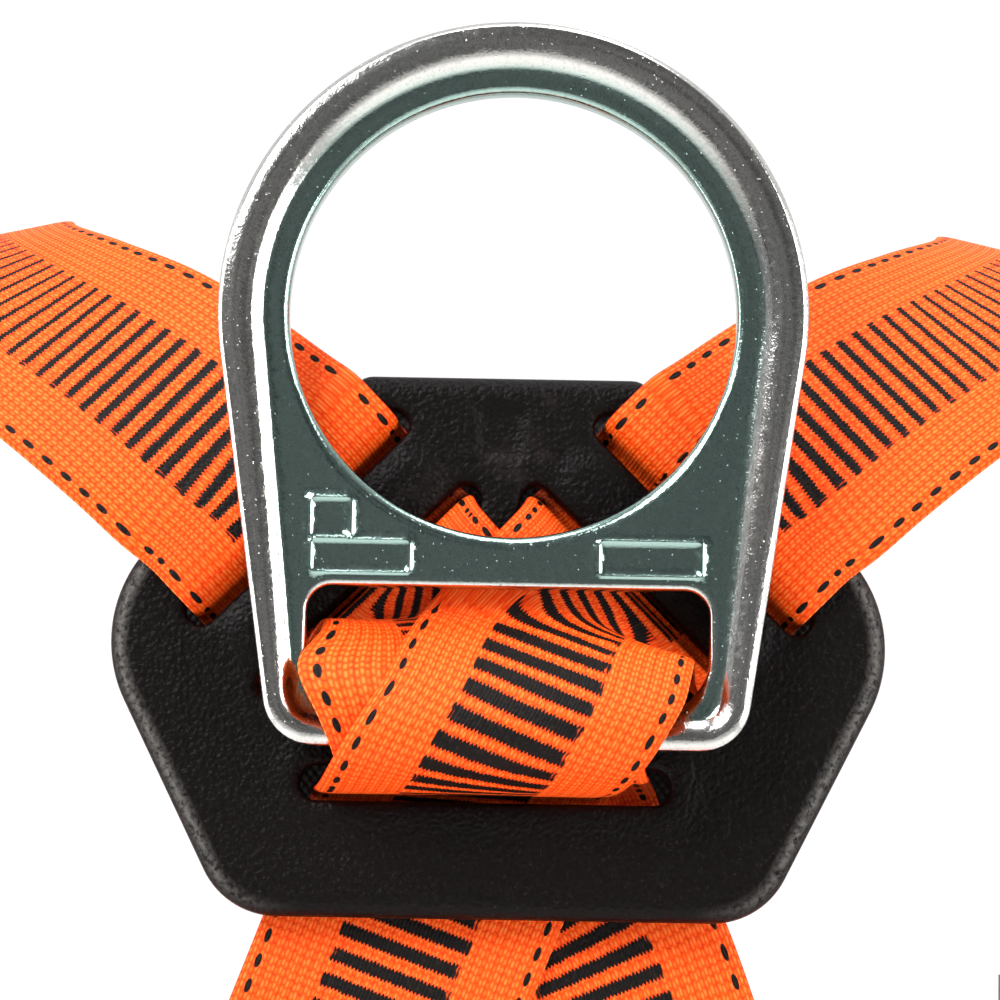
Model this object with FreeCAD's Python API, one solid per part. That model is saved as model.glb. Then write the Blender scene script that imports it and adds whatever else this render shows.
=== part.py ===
"""Full-body safety harness, in the shape it keeps when it is worn.

Millimetres, +Z up.  The origin is the centre of the dorsal D-ring's hole; the wearer's back faces -Y
and the wearer's right-hand side is +X.  Every strap is 45 mm polyester webbing laid along a route of
points, symmetrical about the wearer's spine except where the two shoulder straps cross.
"""
import FreeCAD
import Part
import math
import os

V = FreeCAD.Vector
X, Y, Z = V(1, 0, 0), V(0, 1, 0), V(0, 0, 1)

# ---------------------------------------------------------------- driving dimensions
WEB_W = 45.0                 # webbing width, the standard 1 3/4 in
WEB_T = 1.8                  # webbing thickness
SPINE_X = -1.5               # the ring rides this much to one side of the spine

RING_R = 46.5                # outer radius of the D-ring's bow
HOLE_R = 35.3                # radius of its connector hole
RING_T = 8.0                 # thickness of the rim
SHELF_T = 5.2                # thickness of the recessed web inside the rim
RIM_FLAT = 5.4               # rim width up to the inner bevel
RIM_BEVEL = 2.2              # width of that bevel
RING_BOTTOM = -68.4
BOTTOM_CORNER = 8.0          # radius of the ring's two bottom corners
RING_EDGE = 1.2              # bevel round the ring's outside
LEG_TOP = (46.4, -4.0)       # the outer edge of a leg, where it leaves the bow ...
LEG_FOOT = (38.2, -60.0)     # ... and where it meets the bottom corner
SLOT_TOP, SLOT_BOTTOM, SLOT_HALF = -43.3, -62.2, 31.5
BAR_EASE_X = 27.0            # half length of the bar's eased upper edges
# plain raised panels on the front of the web: x from, x to, z from, z to
WEB_PANELS = [(14.5, 30.0, -41.6, -37.4), (-30.5, -17.5, -41.6, -37.4), (-31.5, -27.5, -37.4, -30.0)]

PAD_FRONT, PAD_BACK = 9.0, 15.0
PAD_CORNERS = [(22.0, -8.5, 3.5), (67.3, -45.4, 22.0), (42.5, -95.0, 13.0)]
UPPER_SLOT = (32.4, -31.6)   # centre of the outer strap slot
BRIDGE = 16.6                # from the outer slot to the inner slot
STRAP_SLOT = (47.6, 5.0)
BOTTOM_SLOT = (-32.7, 26.3, -76.6, -70.9)      # x from, x to, z from, z to
LINER_FRONT, LINER_T = 21.0, 3.0     # the foam liner behind the pad
LINER_SCALE, LINER_DROP = 0.95, 2.0  # its outline against the pad's
LINER_STUDS = [(0, -14.5), (53, -53), (-53, -53), (47, -74), (-47, -74)]

FRONT_Y = 248.0              # the chest straps' plane
CHEST_X = 134.0               # torso strap's distance from the spine on the chest
CHEST_Z = -174.0
TACK_X, TACK_Y = 64.2, 250.75        # bar tack closing each chest strap's loop
TORSO_Z = -272.0             # torso adjuster's slide bar
LEG_BUCKLE = (78.0, 218.0, -640.0)
CHEST_BUCKLE_X = 21.0        # the chest buckle's slide bar, from the spine

POUCH_HALF, POUCH_T = 38.0, 4.2      # half length and thickness of the label pouch
POUCH_Y = 15.6                       # its flat back, resting on the strap

# Slide-bar adjuster, shared by the torso adjusters and the three buckles
BAR_R = 3.0
RAIL_IN, RAIL_OUT, RAIL_H = 24.2, 30.5, 3.0
BAR_TRAVEL = 8.0


# ---------------------------------------------------------------- small helpers
def box(x0, x1, y0, y1, z0, z1):
    return Part.makeBox(x1 - x0, y1 - y0, z1 - z0, V(x0, y0, z0))


def cylinder(radius, start, end):
    axis = end - start
    return Part.makeCylinder(radius, axis.Length, start, axis)


def rounded_face(corners):
    """Face in the XZ plane (y = 0) from (x, z, corner radius) points."""
    edges, arcs = [], []
    count = len(corners)
    for i, (x, z, r) in enumerate(corners):
        here = V(x, 0, z)
        back = V(corners[i - 1][0], 0, corners[i - 1][1]) - here
        ahead = V(corners[(i + 1) % count][0], 0, corners[(i + 1) % count][1]) - here
        back.normalize()
        ahead.normalize()
        if r <= 0:
            arcs.append((here, None, here))
            continue
        half = back.getAngle(ahead) / 2
        reach = r / math.tan(half)
        middle = back + ahead
        middle.normalize()
        arcs.append((here + back * reach, here + middle * (r / math.sin(half) - r), here + ahead * reach))
    for i, (start, mid, end) in enumerate(arcs):
        if mid is not None:
            edges.append(Part.Arc(start, mid, end).toShape())
        edges.append(Part.makeLine(end, arcs[(i + 1) % count][0]))
    return Part.Face(Part.Wire(edges))


def slab(face, y0, y1):
    return face.translated(V(0, y0, 0)).extrude(V(0, y1 - y0, 0))


def oval(length, width, y):
    """Round-ended outline in the plane y."""
    half, r = length / 2 - width / 2, width / 2
    return Part.Wire([Part.makeLine(V(-half, y, r), V(half, y, r)),
                      Part.Arc(V(half, y, r), V(half + r, y, 0), V(half, y, -r)).toShape(),
                      Part.makeLine(V(half, y, -r), V(-half, y, -r)),
                      Part.Arc(V(-half, y, -r), V(-half - r, y, 0), V(-half, y, r)).toShape()])


def slot_cutter(cx, cz, length, width, angle, ease):
    """Slot through the pad with eased mouths, its long side turned by `angle` degrees."""
    levels = [(PAD_FRONT - 1, 2 * ease), (PAD_FRONT, ease), (PAD_FRONT + ease, 0), (PAD_BACK - ease, 0),
              (PAD_BACK, ease), (PAD_BACK + 1, 2 * ease)]
    wires = [oval(length + 2 * grow, width + 2 * grow, y) for y, grow in levels]
    cutter = Part.makeLoft(wires, True, True)
    cutter.rotate(V(0, 0, 0), V(0, -1, 0), angle)
    cutter.translate(V(cx, 0, cz))
    return cutter


def slanted_bar(cx, cz, length, width, angle, y0, y1):
    bar = Part.Face(oval(length, width, y0)).extrude(V(0, y1 - y0, 0))
    bar.rotate(V(0, 0, 0), V(0, -1, 0), angle)
    bar.translate(V(cx, 0, cz))
    return bar


def place(shape, origin, a, n):
    """Put a local shape in place: local x runs along `a`, local z along `n`."""
    w = n.cross(a)
    m = FreeCAD.Matrix(a.x, w.x, n.x, origin.x,
                       a.y, w.y, n.y, origin.y,
                       a.z, w.z, n.z, origin.z,
                       0, 0, 0, 1)
    out = shape.copy()
    out.Placement = FreeCAD.Placement(m).multiply(out.Placement)
    return out


def mirror(p):
    return V(2 * SPINE_X - p.x, p.y, p.z)


def rel(x, y, z):
    """A point given by its distance from the spine."""
    return V(SPINE_X + x, y, z)


# ---------------------------------------------------------------- webbing
def cross_pair(x, y, z, hx, hy, hz, half=WEB_W / 2):
    """The two edge points of a strap whose centre and crosswise direction are given."""
    h = V(hx, hy, hz)
    h.normalize()
    c = rel(x, y, z)
    return (c - h * half, c + h * half)


def hug_pairs(points):
    """Edge points of a strap lying on the body: (x, y, z, outward nx, ny, nz) per point."""
    pairs = []
    centres = [rel(p[0], p[1], p[2]) for p in points]
    for i, p in enumerate(points):
        t = centres[min(i + 1, len(points) - 1)] - centres[max(i - 1, 0)]
        h = V(p[3], p[4], p[5]).cross(t)
        h.normalize()
        pairs.append((centres[i] - h * (WEB_W / 2), centres[i] + h * (WEB_W / 2)))
    return pairs


def flipped(pairs):
    return [(b, a) for a, b in pairs]


def mirrored(pairs):
    return [(mirror(a), mirror(b)) for a, b in pairs]


def hermite(p0, p1, m0, m1, t):
    t2, t3 = t * t, t * t * t
    return p0 * (2 * t3 - 3 * t2 + 1) + m0 * (t3 - 2 * t2 + t) + p1 * (3 * t2 - 2 * t3) + m1 * (t3 - t2)


def smooth_pairs(pairs, step=22.0, turn=0.30, twist=0.22):
    """A smooth run of edge pairs through the given ones, closer together where the strap bends."""
    centres = [(a + b) * 0.5 for a, b in pairs]
    gaps = [max((centres[i + 1] - centres[i]).Length, 0.2) for i in range(len(pairs) - 1)]

    def slope(curve, i):
        if i == 0:
            return (curve[1] - curve[0]) * (1 / gaps[0])
        if i == len(curve) - 1:
            return (curve[-1] - curve[-2]) * (1 / gaps[-1])
        before = (curve[i] - curve[i - 1]) * (1 / gaps[i - 1])
        after = (curve[i + 1] - curve[i]) * (1 / gaps[i])
        return (before * gaps[i] + after * gaps[i - 1]) * (1 / (gaps[i] + gaps[i - 1]))

    runs = []
    for side in (0, 1):
        curve = [p[side] for p in pairs]
        runs.append((curve, [slope(curve, i) for i in range(len(curve))]))
    middle = [slope(centres, i) for i in range(len(centres))]
    out = [pairs[0]]
    for i, gap in enumerate(gaps):
        bend = middle[i].getAngle(middle[i + 1])
        across = (pairs[i][1] - pairs[i][0]).getAngle(pairs[i + 1][1] - pairs[i + 1][0])
        long_gap = gap / step * min(1, 9 * bend)
        steps = max(1, math.ceil(bend / turn), math.ceil(across / twist), math.ceil(long_gap))
        for k in range(1, steps + 1):
            t = k / steps
            out.append(tuple(hermite(c[i], c[i + 1], m[i] * gap, m[i + 1] * gap, t) for c, m in runs))
    return out


def webbing(pairs):
    """Solid strap of WEB_T thickness through the edge pairs."""
    run = smooth_pairs(pairs)
    centres = [(a + b) * 0.5 for a, b in run]
    wires = []
    for i, (a, b) in enumerate(run):
        t = centres[min(i + 1, len(run) - 1)] - centres[max(i - 1, 0)]
        n = t.cross(b - a)
        n.normalize()
        n = n * (WEB_T / 2)
        wires.append(Part.makePolygon([a - n, b - n, b + n, a + n, a - n]))
    solid = Part.makeLoft(wires, True, True)
    if solid.Volume < 0:
        solid.reverse()
    return solid


# Shoulder strap from its sewn end at the torso adjuster, over the shoulder, to the pad's outer slot:
# centre point (x from the spine, y, z) and crosswise direction.
LOOP_Z = TORSO_Z + 17.0      # the adjuster's top bar, which the sewn loop goes round
SHOULDER = [
    (CHEST_X, 249.3, LOOP_Z + 42, 1, 0, 0),
    (CHEST_X, 249.3, LOOP_Z + 24, 1, 0, 0),
    (CHEST_X, 251.2, LOOP_Z + 9, 1, 0, 0),
    (CHEST_X, 252.1, LOOP_Z, 1, 0, 0),
    (CHEST_X, 250.9, LOOP_Z - 2.9, 1, 0, 0),
    (CHEST_X, 248.0, LOOP_Z - 4.1, 1, 0, 0),
    (CHEST_X, 245.1, LOOP_Z - 2.9, 1, 0, 0),
    (CHEST_X, 243.9, LOOP_Z, 1, 0, 0),
    (CHEST_X, 244.8, LOOP_Z + 9, 1, 0, 0),
    (CHEST_X, 247.1, LOOP_Z + 24, 1, 0, 0),
    (CHEST_X, 247.1, LOOP_Z + 42, 1, 0, 0),
    (CHEST_X, 247.1, -150, 1, 0, 0),
    (CHEST_X, 247.1, -130, 1, 0, 0),
    (CHEST_X, 247.1, -98, 1, 0, 0),
    (CHEST_X, 246.6, -88, 1, 0, 0),
    (CHEST_X + 0.5, 241, -64, 1, 0, 0),
    (CHEST_X - 1, 222, -30, 1, 0.02, 0),
    (CHEST_X - 9, 190, -2, 0.99, 0.14, -0.05),
    (CHEST_X - 22, 150, 15, 0.98, 0.2, -0.12),
    (CHEST_X - 33, 108, 22, 0.98, 0.17, -0.18),
    (CHEST_X - 37, 66, 20, 0.98, 0.07, -0.2),
    (92.7, 44.6, 14.5, 0.9, -0.3, -0.31),
    (80.0, 29.0, 5.0, 0.735, -0.42, -0.53),
    (63.4, 18.2, -6.0, 0.64, -0.33, -0.69),
    (52.0, 12.4, -14.5, 0.67, -0.2, -0.715),
    (43.5, 8.6, -21.5, 0.7, -0.06, -0.71),
]
# Through the pad: (distance from the outer slot towards the shoulder, y)
THROUGH_PAD = [(10, 7.3), (5, 6.9), (2.3, 7.3), (0.7, 9.3), (0.2, 12.0), (-0.3, 14.5), (-1.9, 16.2),
               (-4.5, 16.7), (-12.1, 16.7), (-14.7, 16.2), (-16.3, 14.5), (-16.8, 12.0), (-17.2, 9.6)]
SLANT = math.sqrt(0.5)
for d, y in THROUGH_PAD:
    SHOULDER.append((UPPER_SLOT[0] + d * SLANT, y, UPPER_SLOT[1] + d * SLANT, 1, 0, -1))

# Where the straps cross behind the ring's crossbar, go forward through the ring's slot, over its
# bar and back through the pad's bottom slot: the two edges of each strap, (x, y, z) each.
CROSS_RIGHT = [
    ((1.4, 5.9, -30.2), (32.2, 6.9, -60.6)),
    ((-4.0, 5.4, -36.0), (29.9, 4.6, -58.4)),
    ((-9.0, 5.1, -41.3), (29.4, 0.7, -55.0)),
    ((-13.2, 3.6, -46.5), (29.2, -2.7, -54.6)),
    ((-16.5, -0.3, -52.0), (28.6, -5.6, -57.0)),
    ((-19.3, -5.5, -58.3), (27.5, -7.9, -61.2)),
    ((-23.6, -8.4, -65.3), (25.4, -8.4, -65.3)),
    ((-26.4, -7.1, -70.0), (22.6, -7.1, -70.0)),
    ((-28.3, -2.8, -73.0), (20.2, -2.8, -73.0)),
    ((-29.4, 3.0, -74.3), (18.6, 3.0, -74.3)),
    ((-30.1, 9.0, -74.6), (17.4, 9.0, -74.6)),
    ((-30.7, 13.9, -74.8), (16.8, 13.9, -74.8)),
    ((-31.3, 16.4, -76.2), (16.2, 16.4, -76.2)),
    ((-32.3, 16.9, -79.6), (14.6, 16.9, -79.6)),
    ((-34.2, 16.8, -83.2), (11.8, 16.8, -89.4)),
]
CROSS_LEFT = [
    ((-4.4, 7.6, -30.2), (-35.2, 7.6, -60.6)),
    ((1.0, 7.7, -36.0), (-33.2, 7.8, -60.8)),
    ((6.0, 7.7, -41.3), (-31.2, 7.2, -59.2)),
    ((10.2, 6.9, -46.5), (-29.7, 4.2, -56.8)),
    ((13.3, 3.0, -52.4), (-28.0, 0.6, -55.8)),
    ((16.3, -2.0, -58.6), (-25.8, -3.1, -59.0)),
    ((19.2, -6.2, -65.3), (-25.8, -6.2, -65.3)),
    ((20.8, -4.9, -69.1), (-26.2, -4.9, -69.1)),
    ((21.8, -1.0, -71.4), (-26.4, -1.0, -71.4)),
    ((22.3, 4.0, -72.2), (-26.1, 4.0, -72.2)),
    ((22.8, 9.0, -72.4), (-26.0, 9.0, -72.4)),
    ((23.2, 15.2, -72.5), (-25.7, 15.2, -72.5)),
    ((24.2, 18.4, -74.2), (-25.2, 18.4, -74.2)),
    ((25.6, 19.0, -78.2), (-23.8, 19.0, -78.2)),
    ((28.4, 18.9, -82.2), (-20.0, 18.9, -87.2)),
]
# Down the back to the opposite hip: (x, y, z) and outward normal, for the strap that comes over the
# wearer's right shoulder and ends at the left hip.
BACK = [
    (-14.0, 16.8, -98, 0, -1, 0),
    (-28.0, 17.2, -135, 0, -1, 0),
    (-53.0, 17.5, -200, 0, -1, 0),
    (-79.0, 18.5, -268, -0.08, -1, 0),
    (-112.0, 32.0, -350, -0.35, -0.93, 0),
    (-141.0, 60.0, -430, -0.7, -0.71, 0),
    (-159.5, 87.0, -482, -0.95, -0.3, 0),
    (-165.0, 101.0, -522, -1, -0.02, 0),
    (-165.4, 109.0, -552, -1, 0, 0),
    (-165.4, 117.0, -585, -1, 0, 0),
]


def back_pairs(layer):
    """The strap's way down the back, `layer` mm nearer to the wearer."""
    return hug_pairs([(x, y + layer, z, nx, ny, nz) for x, y, z, nx, ny, nz in BACK])


def vectors(pairs):
    return [(V(*a), V(*b)) for a, b in pairs]


shoulder = [cross_pair(*p) for p in SHOULDER]
back_strap_right = shoulder + vectors(CROSS_RIGHT) + back_pairs(0)
back_strap_left = mirrored(shoulder) + vectors(CROSS_LEFT) + mirrored(back_pairs(2.1))

# Front strap: tail, round the torso adjuster's slide bar, down to the hip on the same side
FRONT_LOOP = [
    (CHEST_X, 250.4, TORSO_Z - 102, 1, 0, 0),
    (CHEST_X, 250.4, TORSO_Z - 50, 1, 0, 0),
    (CHEST_X, 250.4, TORSO_Z - 36, 1, 0, 0),
    (CHEST_X, 251.8, TORSO_Z - 22, 1, 0, 0),
    (CHEST_X, 252.3, TORSO_Z - 12, 1, 0, 0),
    (CHEST_X, 252.3, TORSO_Z, 1, 0, 0),
    (CHEST_X, 251.0, TORSO_Z + 3.0, 1, 0, 0),
    (CHEST_X, 248.0, TORSO_Z + 4.3, 1, 0, 0),
    (CHEST_X, 245.0, TORSO_Z + 3.0, 1, 0, 0),
    (CHEST_X, 243.7, TORSO_Z, 1, 0, 0),
    (CHEST_X, 243.7, TORSO_Z - 12, 1, 0, 0),
    (CHEST_X, 244.6, TORSO_Z - 22, 1, 0, 0),
    (CHEST_X, 247.5, TORSO_Z - 36, 1, 0, 0),
    (CHEST_X, 247.5, TORSO_Z - 50, 1, 0, 0),
    (CHEST_X, 247.5, TORSO_Z - 90, 1, 0, 0),
    (CHEST_X, 247.5, TORSO_Z - 100, 1, 0, 0),
]
FRONT = [
    (135, 239, -410, 0.2, 1, 0),
    (147, 212, -462, 0.6, 0.8, 0),
    (158, 179, -510, 0.88, 0.48, 0),
    (166.4, 150, -544, 1, 0.1, 0),
    (167.8, 131, -568, 1, 0, 0),
    (167.8, 117, -590, 1, 0, 0),
]
front_strap_right = [cross_pair(*p) for p in FRONT_LOOP] + flipped(hug_pairs(FRONT))

# Chest straps, seen from above (x from the spine, y): looped round the torso strap and sewn.  The
# right one runs on round the buckle's slide bar and ends in a tail.
TORSO_TURN = [
    (CHEST_X - 21, 251.0), (CHEST_X - 15, 251.2), (CHEST_X + 19, 251.2), (CHEST_X + 24.5, 251.1),
    (CHEST_X + 27.4, 249.8), (CHEST_X + 28.4, 247.1), (CHEST_X + 27.4, 244.6), (CHEST_X + 24.5, 243.3),
    (CHEST_X + 19, 243.2), (CHEST_X - 15, 243.2), (CHEST_X - 21, 243.6)]
CHEST_RIGHT = [(48, 249.0), (62, 249.0), (CHEST_X - 33, 249.0)] + TORSO_TURN + [
    (CHEST_X - 33, 246.8), (62, 246.8), (48, 246.8), (43, 245.3), (38, 244.0), (33, 243.7),
    (21, 243.7), (18, 245.0), (16.7, 248.0), (18, 251.0), (21, 252.3), (33, 252.3), (40, 252.2),
    (46, 251.3), (62, 251.2)]
# The left one is a closed sling between the torso strap and the housing's bar, its ends meeting
# at the back.
CHEST_LEFT = [(54.5, 247.0), (62, 247.0), (CHEST_X - 33, 246.8), (CHEST_X - 21, 243.6)]
CHEST_LEFT += TORSO_TURN[::-1][1:]
CHEST_LEFT += [
    (CHEST_X - 33, 249.2), (62, 249.2), (54, 249.2), (48, 250.8), (42.5, 252.1), (39.4, 251.1),
    (38.1, 248.0), (39.4, 244.9), (42.5, 243.9), (48, 245.4), (53.5, 247.0)]

# Seat strap, hip to hip behind the wearer
SEAT = [
    (163.0, 122, -546, 1, 0, 0),
    (162.2, 98, -553, 1, -0.04, 0),
    (153.0, 52, -573, 0.87, -0.5, 0),
    (122.0, 12, -588, 0.5, -0.87, 0),
    (70.0, -8, -599, 0.15, -1, 0),
    (0.0, -14, -603, 0, -1, 0),
]
seat_half = hug_pairs(SEAT)
seat_strap = seat_half + mirrored(seat_half[:-1])[::-1]

# Thigh strap: from the hip round the back and the inside of the thigh to the buckle's slide bar, with
# its tail lying in front
LX, LY, LZ = LEG_BUCKLE
THIGH = [
    (170.2, 114, -556, 1, 0, 0),
    (169.8, 84, -586, 1, -0.08, 0),
    (152.0, 42, -630, 0.72, -0.69, 0),
    (108.0, 18, -664, 0.15, -1, 0),
    (66.0, 21, -683, -0.3, -0.95, 0),
    (32.0, 47, -688, -0.75, -0.66, 0),
    (15.0, 88, -684, -1, -0.2, 0),
    (12.0, 132, -672, -1, 0.05, 0),
    (13.5, 172, -657, -0.95, 0.3, 0),
    (18.5, 198, -646, -0.75, 0.66, 0),
    (26.0, 210.4, -641.5, -0.35, 0.94, 0),
    (33.0, 213.7, LZ, 0, 1, 0),
    (42.0, 213.8, LZ, 0, 1, 0),
]
THIGH_LOOP = [
    (LX - 24, 213.8), (LX - 12, 213.7), (LX, 213.7), (LX + 3.0, 215.0), (LX + 4.3, 218.0),
    (LX + 3.0, 221.0), (LX, 222.3), (LX - 12, 222.3), (LX - 20, 221.4), (LX - 26, 217.6),
    (LX - 32, 216.2), (LX - 49, 216.2)]
LEG_SHORT = [
    (158.0, 215.4, LZ + 1, 0.15, 1, 0),
    (167.0, 202.0, LZ + 9, 0.85, 0.5, 0),
    (171.8, 173, -610, 1, 0.12, 0),
    (173.2, 142, -586, 1, 0, 0),
    (173.2, 114, -562, 1, 0, 0),
]


def across_z(points, z):
    """Edge pairs of a strap running along X with its width upright."""
    return [cross_pair(x, y, z, 0, 0, 1) for x, y in points]


thigh_strap_right = flipped(hug_pairs(THIGH)) + across_z(THIGH_LOOP, LZ)


# ---------------------------------------------------------------- D-ring
def ring_outline(inset, bottom):
    """Outline of the ring set in by `inset`, closed by a straight edge at z = bottom."""
    r = RING_R - inset
    dx, dz = LEG_TOP[0] - LEG_FOOT[0], LEG_TOP[1] - LEG_FOOT[1]
    length = math.hypot(dx, dz)
    normal = (dz / length, -dx / length)
    # the leg's line is tangent to the bow
    top = (normal[0] * r, normal[1] * r)
    foot_x = top[0] + (bottom - top[1]) * dx / dz
    corner = max(BOTTOM_CORNER - inset, 1.0)
    low = rounded_face([(foot_x, bottom, corner), (top[0], top[1], 0),
                        (-top[0], top[1], 0), (-foot_x, bottom, corner)])
    bow = Part.Face(Part.Wire(Part.makeCircle(r, V(0, 0, 0), V(0, 1, 0))))
    bow = slab(bow, 0, 1).common(box(-99, 99, 0, 1, top[1], 99))
    return slab(low, 0, 1).fuse(bow).removeSplitter()


def ring_slab(inset, bottom, y0, y1):
    """That outline as a plate between y0 and y1."""
    plate = ring_outline(inset, bottom)
    m = FreeCAD.Matrix()
    m.scale(1, y1 - y0, 1)
    plate = plate.transformGeometry(m)
    plate.translate(V(0, y0, 0))
    return plate


def make_dorsal_ring():
    half, edge = RING_T / 2, RING_EDGE
    ring = ring_slab(0, RING_BOTTOM, -half, half)
    outer = [e for e in ring.Edges if all(abs(abs(v.Point.y) - half) < 1e-3 for v in e.Vertexes)]
    ring = ring.makeChamfer(edge, outer)
    depth = (RING_T - SHELF_T) / 2
    for side in (-1, 1):
        steps = 4
        for k in range(steps):
            inset = RIM_FLAT + RIM_BEVEL * (k + 1) / steps
            level = half - depth * k / steps
            y0, y1 = sorted((side * level, side * (level - depth / steps)))
            ring = ring.cut(ring_slab(inset, SLOT_TOP - 4, y0 - 1e-3, y1 + 1e-3))
    slot = rounded_face([(-SLOT_HALF, SLOT_TOP, 4), (SLOT_HALF, SLOT_TOP, 4),
                         (SLOT_HALF + 0.3, SLOT_BOTTOM, 8.5), (-SLOT_HALF - 0.3, SLOT_BOTTOM, 8.5)])
    ring = ring.cut(slab(slot, -9, 9))
    ring = ring.cut(cylinder(HOLE_R, V(0, -9, 0), V(0, 9, 0)))
    # rounded mouth of the hole
    mouth = Part.makeCone(HOLE_R, HOLE_R + 1.0, 1.0, V(0, SHELF_T / 2 - 0.8, 0), V(0, 1, 0))
    back_mouth = Part.makeCone(HOLE_R, HOLE_R + 1.0, 1.0, V(0, 0.8 - SHELF_T / 2, 0), V(0, -1, 0))
    ring = ring.cut(mouth).cut(back_mouth)
    # eased upper edges of the bar, which the webbing bears on
    for side in (-1, 1):
        wedge = box(-BAR_EASE_X, BAR_EASE_X, -edge, edge, -edge, edge)
        wedge.rotate(V(0, 0, 0), X, 45)
        wedge.translate(V(0, side * half, SLOT_BOTTOM))
        ring = ring.cut(wedge)
    # plain raised panels on the web, front face only
    for x0, x1, z0, z1 in WEB_PANELS:
        panel = rounded_face([(x0, z0, 1), (x1, z0, 1), (x1, z1, 1), (x0, z1, 1)])
        ring = ring.fuse(slab(panel, -SHELF_T / 2 - 0.5, -SHELF_T / 2 + 0.2))
    return ring.removeSplitter()


# ---------------------------------------------------------------- pad
def make_dorsal_pad():
    corners = [(SPINE_X + x, z, r) for x, z, r in PAD_CORNERS]
    corners += [(SPINE_X - x, z, r) for x, z, r in reversed(PAD_CORNERS)]
    pad = slab(rounded_face(corners), PAD_FRONT, PAD_BACK)
    rim = [e for e in pad.Edges if all(abs(v.Point.y - PAD_FRONT) < 1e-3 for v in e.Vertexes)]
    pad = pad.makeFillet(2.2, rim)
    cuts, lips = [], []
    for side in (-1, 1):
        for d in (0, -BRIDGE):
            x = SPINE_X + side * (UPPER_SLOT[0] + d * SLANT)
            z = UPPER_SLOT[1] + d * SLANT
            cuts.append(slot_cutter(x, z, *STRAP_SLOT, -45 * side, 0.8))
        # raised bridge between the two slots
        x = SPINE_X + side * (UPPER_SLOT[0] - BRIDGE / 2 * SLANT)
        z = UPPER_SLOT[1] - BRIDGE / 2 * SLANT
        lips.append(slanted_bar(x, z, 44.0, 8.4, -45 * side, PAD_FRONT - 0.8, PAD_FRONT + 0.5))
    x0, x1, z0, z1 = BOTTOM_SLOT
    cuts.append(slot_cutter((x0 + x1) / 2, (z0 + z1) / 2, x1 - x0, z1 - z0, 0, 0.8))
    for lip in lips:
        pad = pad.fuse(lip)
    for cut in cuts:
        pad = pad.cut(cut)
    # plain recess between the slots
    recess = rounded_face([(SPINE_X - 4, -22, 1.5), (SPINE_X + 4, -22, 1.5),
                           (SPINE_X + 4, -13, 1.5), (SPINE_X - 4, -13, 1.5)])
    pad = pad.cut(slab(recess, PAD_FRONT - 1, PAD_FRONT + 0.8))
    return pad.removeSplitter()


def make_pad_liner():
    """Foam sheet behind the pad and the straps, held off by five round studs."""
    corners = [(SPINE_X + x * LINER_SCALE, z * LINER_SCALE - LINER_DROP, r) for x, z, r in PAD_CORNERS]
    corners += [(2 * SPINE_X - x, z, r) for x, z, r in reversed(corners)]
    liner = slab(rounded_face(corners), LINER_FRONT, LINER_FRONT + LINER_T)
    for x, z in LINER_STUDS:
        stud = cylinder(3.0, rel(x, PAD_BACK, z), rel(x, LINER_FRONT + 1, z))
        liner = liner.fuse(stud)
    return liner.removeSplitter()


# ---------------------------------------------------------------- adjusters and buckles
# Local frame: x towards the adjustable strap, y across the webbing, z outwards; origin on the slide bar.
def adjuster_rails(x0, x1):
    parts = []
    for side in (-1, 1):
        y0, y1 = sorted((side * RAIL_IN, side * RAIL_OUT))
        rail = box(x0, x1, y0, y1, -RAIL_H, RAIL_H)
        rail = rail.makeFillet(1.2, [e for e in rail.Edges if e.Length > x1 - x0 - 1])
        rail = rail.cut(box(-2.9, 2.9 + BAR_TRAVEL, y0 - 1, y1 + 1, -1.2, 1.2))
        parts.append(rail)
    low = box(x1 - 4.5, x1, -RAIL_IN - 1, RAIL_IN + 1, -2, 2)
    parts.append(low.makeFillet(1.4, [e for e in low.Edges if e.Length > 40]))
    return parts


def fuse_all(parts):
    out = parts[0]
    for p in parts[1:]:
        out = out.fuse(p)
    return out.removeSplitter()


def adjuster_frame():
    top = box(-19.2, -14.8, -RAIL_OUT + 1, RAIL_OUT - 1, -2.2, 2.2)
    top = top.makeFillet(1.6, [e for e in top.Edges if e.Length > 40])
    return fuse_all(adjuster_rails(-19.2, 18.5) + [top])


def slide_bar():
    rod = cylinder(BAR_R, V(0, -23.4, 0), V(0, 23.4, 0))
    grip = []
    for i in range(18):
        angle = math.radians(20 * i)
        groove = box(-0.25, 0.25, -20, 20, -0.25, 0.25)
        groove.translate(V(BAR_R * math.cos(angle), 0, BAR_R * math.sin(angle)))
        grip.append(groove)
    rod = rod.cut(Part.makeCompound(grip))
    tenon = box(-2.4, 2.4, -RAIL_OUT + 0.4, RAIL_OUT - 0.4, -0.85, 0.85)
    return rod.fuse(tenon)


TONGUE_HALF = 13.6
HOUSING = (-54.0, -20.0)     # local x extent of the housing
BUTTON = (-40.0, -28.0)      # local x extent of a release button


def tongue_plate():
    """Latch plate with the slide-bar frame in one piece."""
    head = box(-19.6, -13.5, -RAIL_OUT + 1, RAIL_OUT - 1, -1.6, 1.6)
    blade = box(-47.5, -14, -TONGUE_HALF, TONGUE_HALF, -1.5, 1.5)
    for side in (-1, 1):
        y0, y1 = sorted((side * 9.0, side * 20.0))
        blade = blade.cut(box(BUTTON[0] - 1.5, BUTTON[1] + 1.5, y0, y1, -3, 3))
    plan = box(-47.5, -14, -TONGUE_HALF, TONGUE_HALF, -1.5, 1.5)
    ends = [e for e in plan.Edges if all(abs(v.Point.x + 47.5) < 1e-3 for v in e.Vertexes)]
    nose = [e for e in ends if e.Length < 4]
    blade = blade.common(plan.makeFillet(5.0, nose))
    return fuse_all(adjuster_rails(-16.0, 18.5) + [head, blade])


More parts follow.
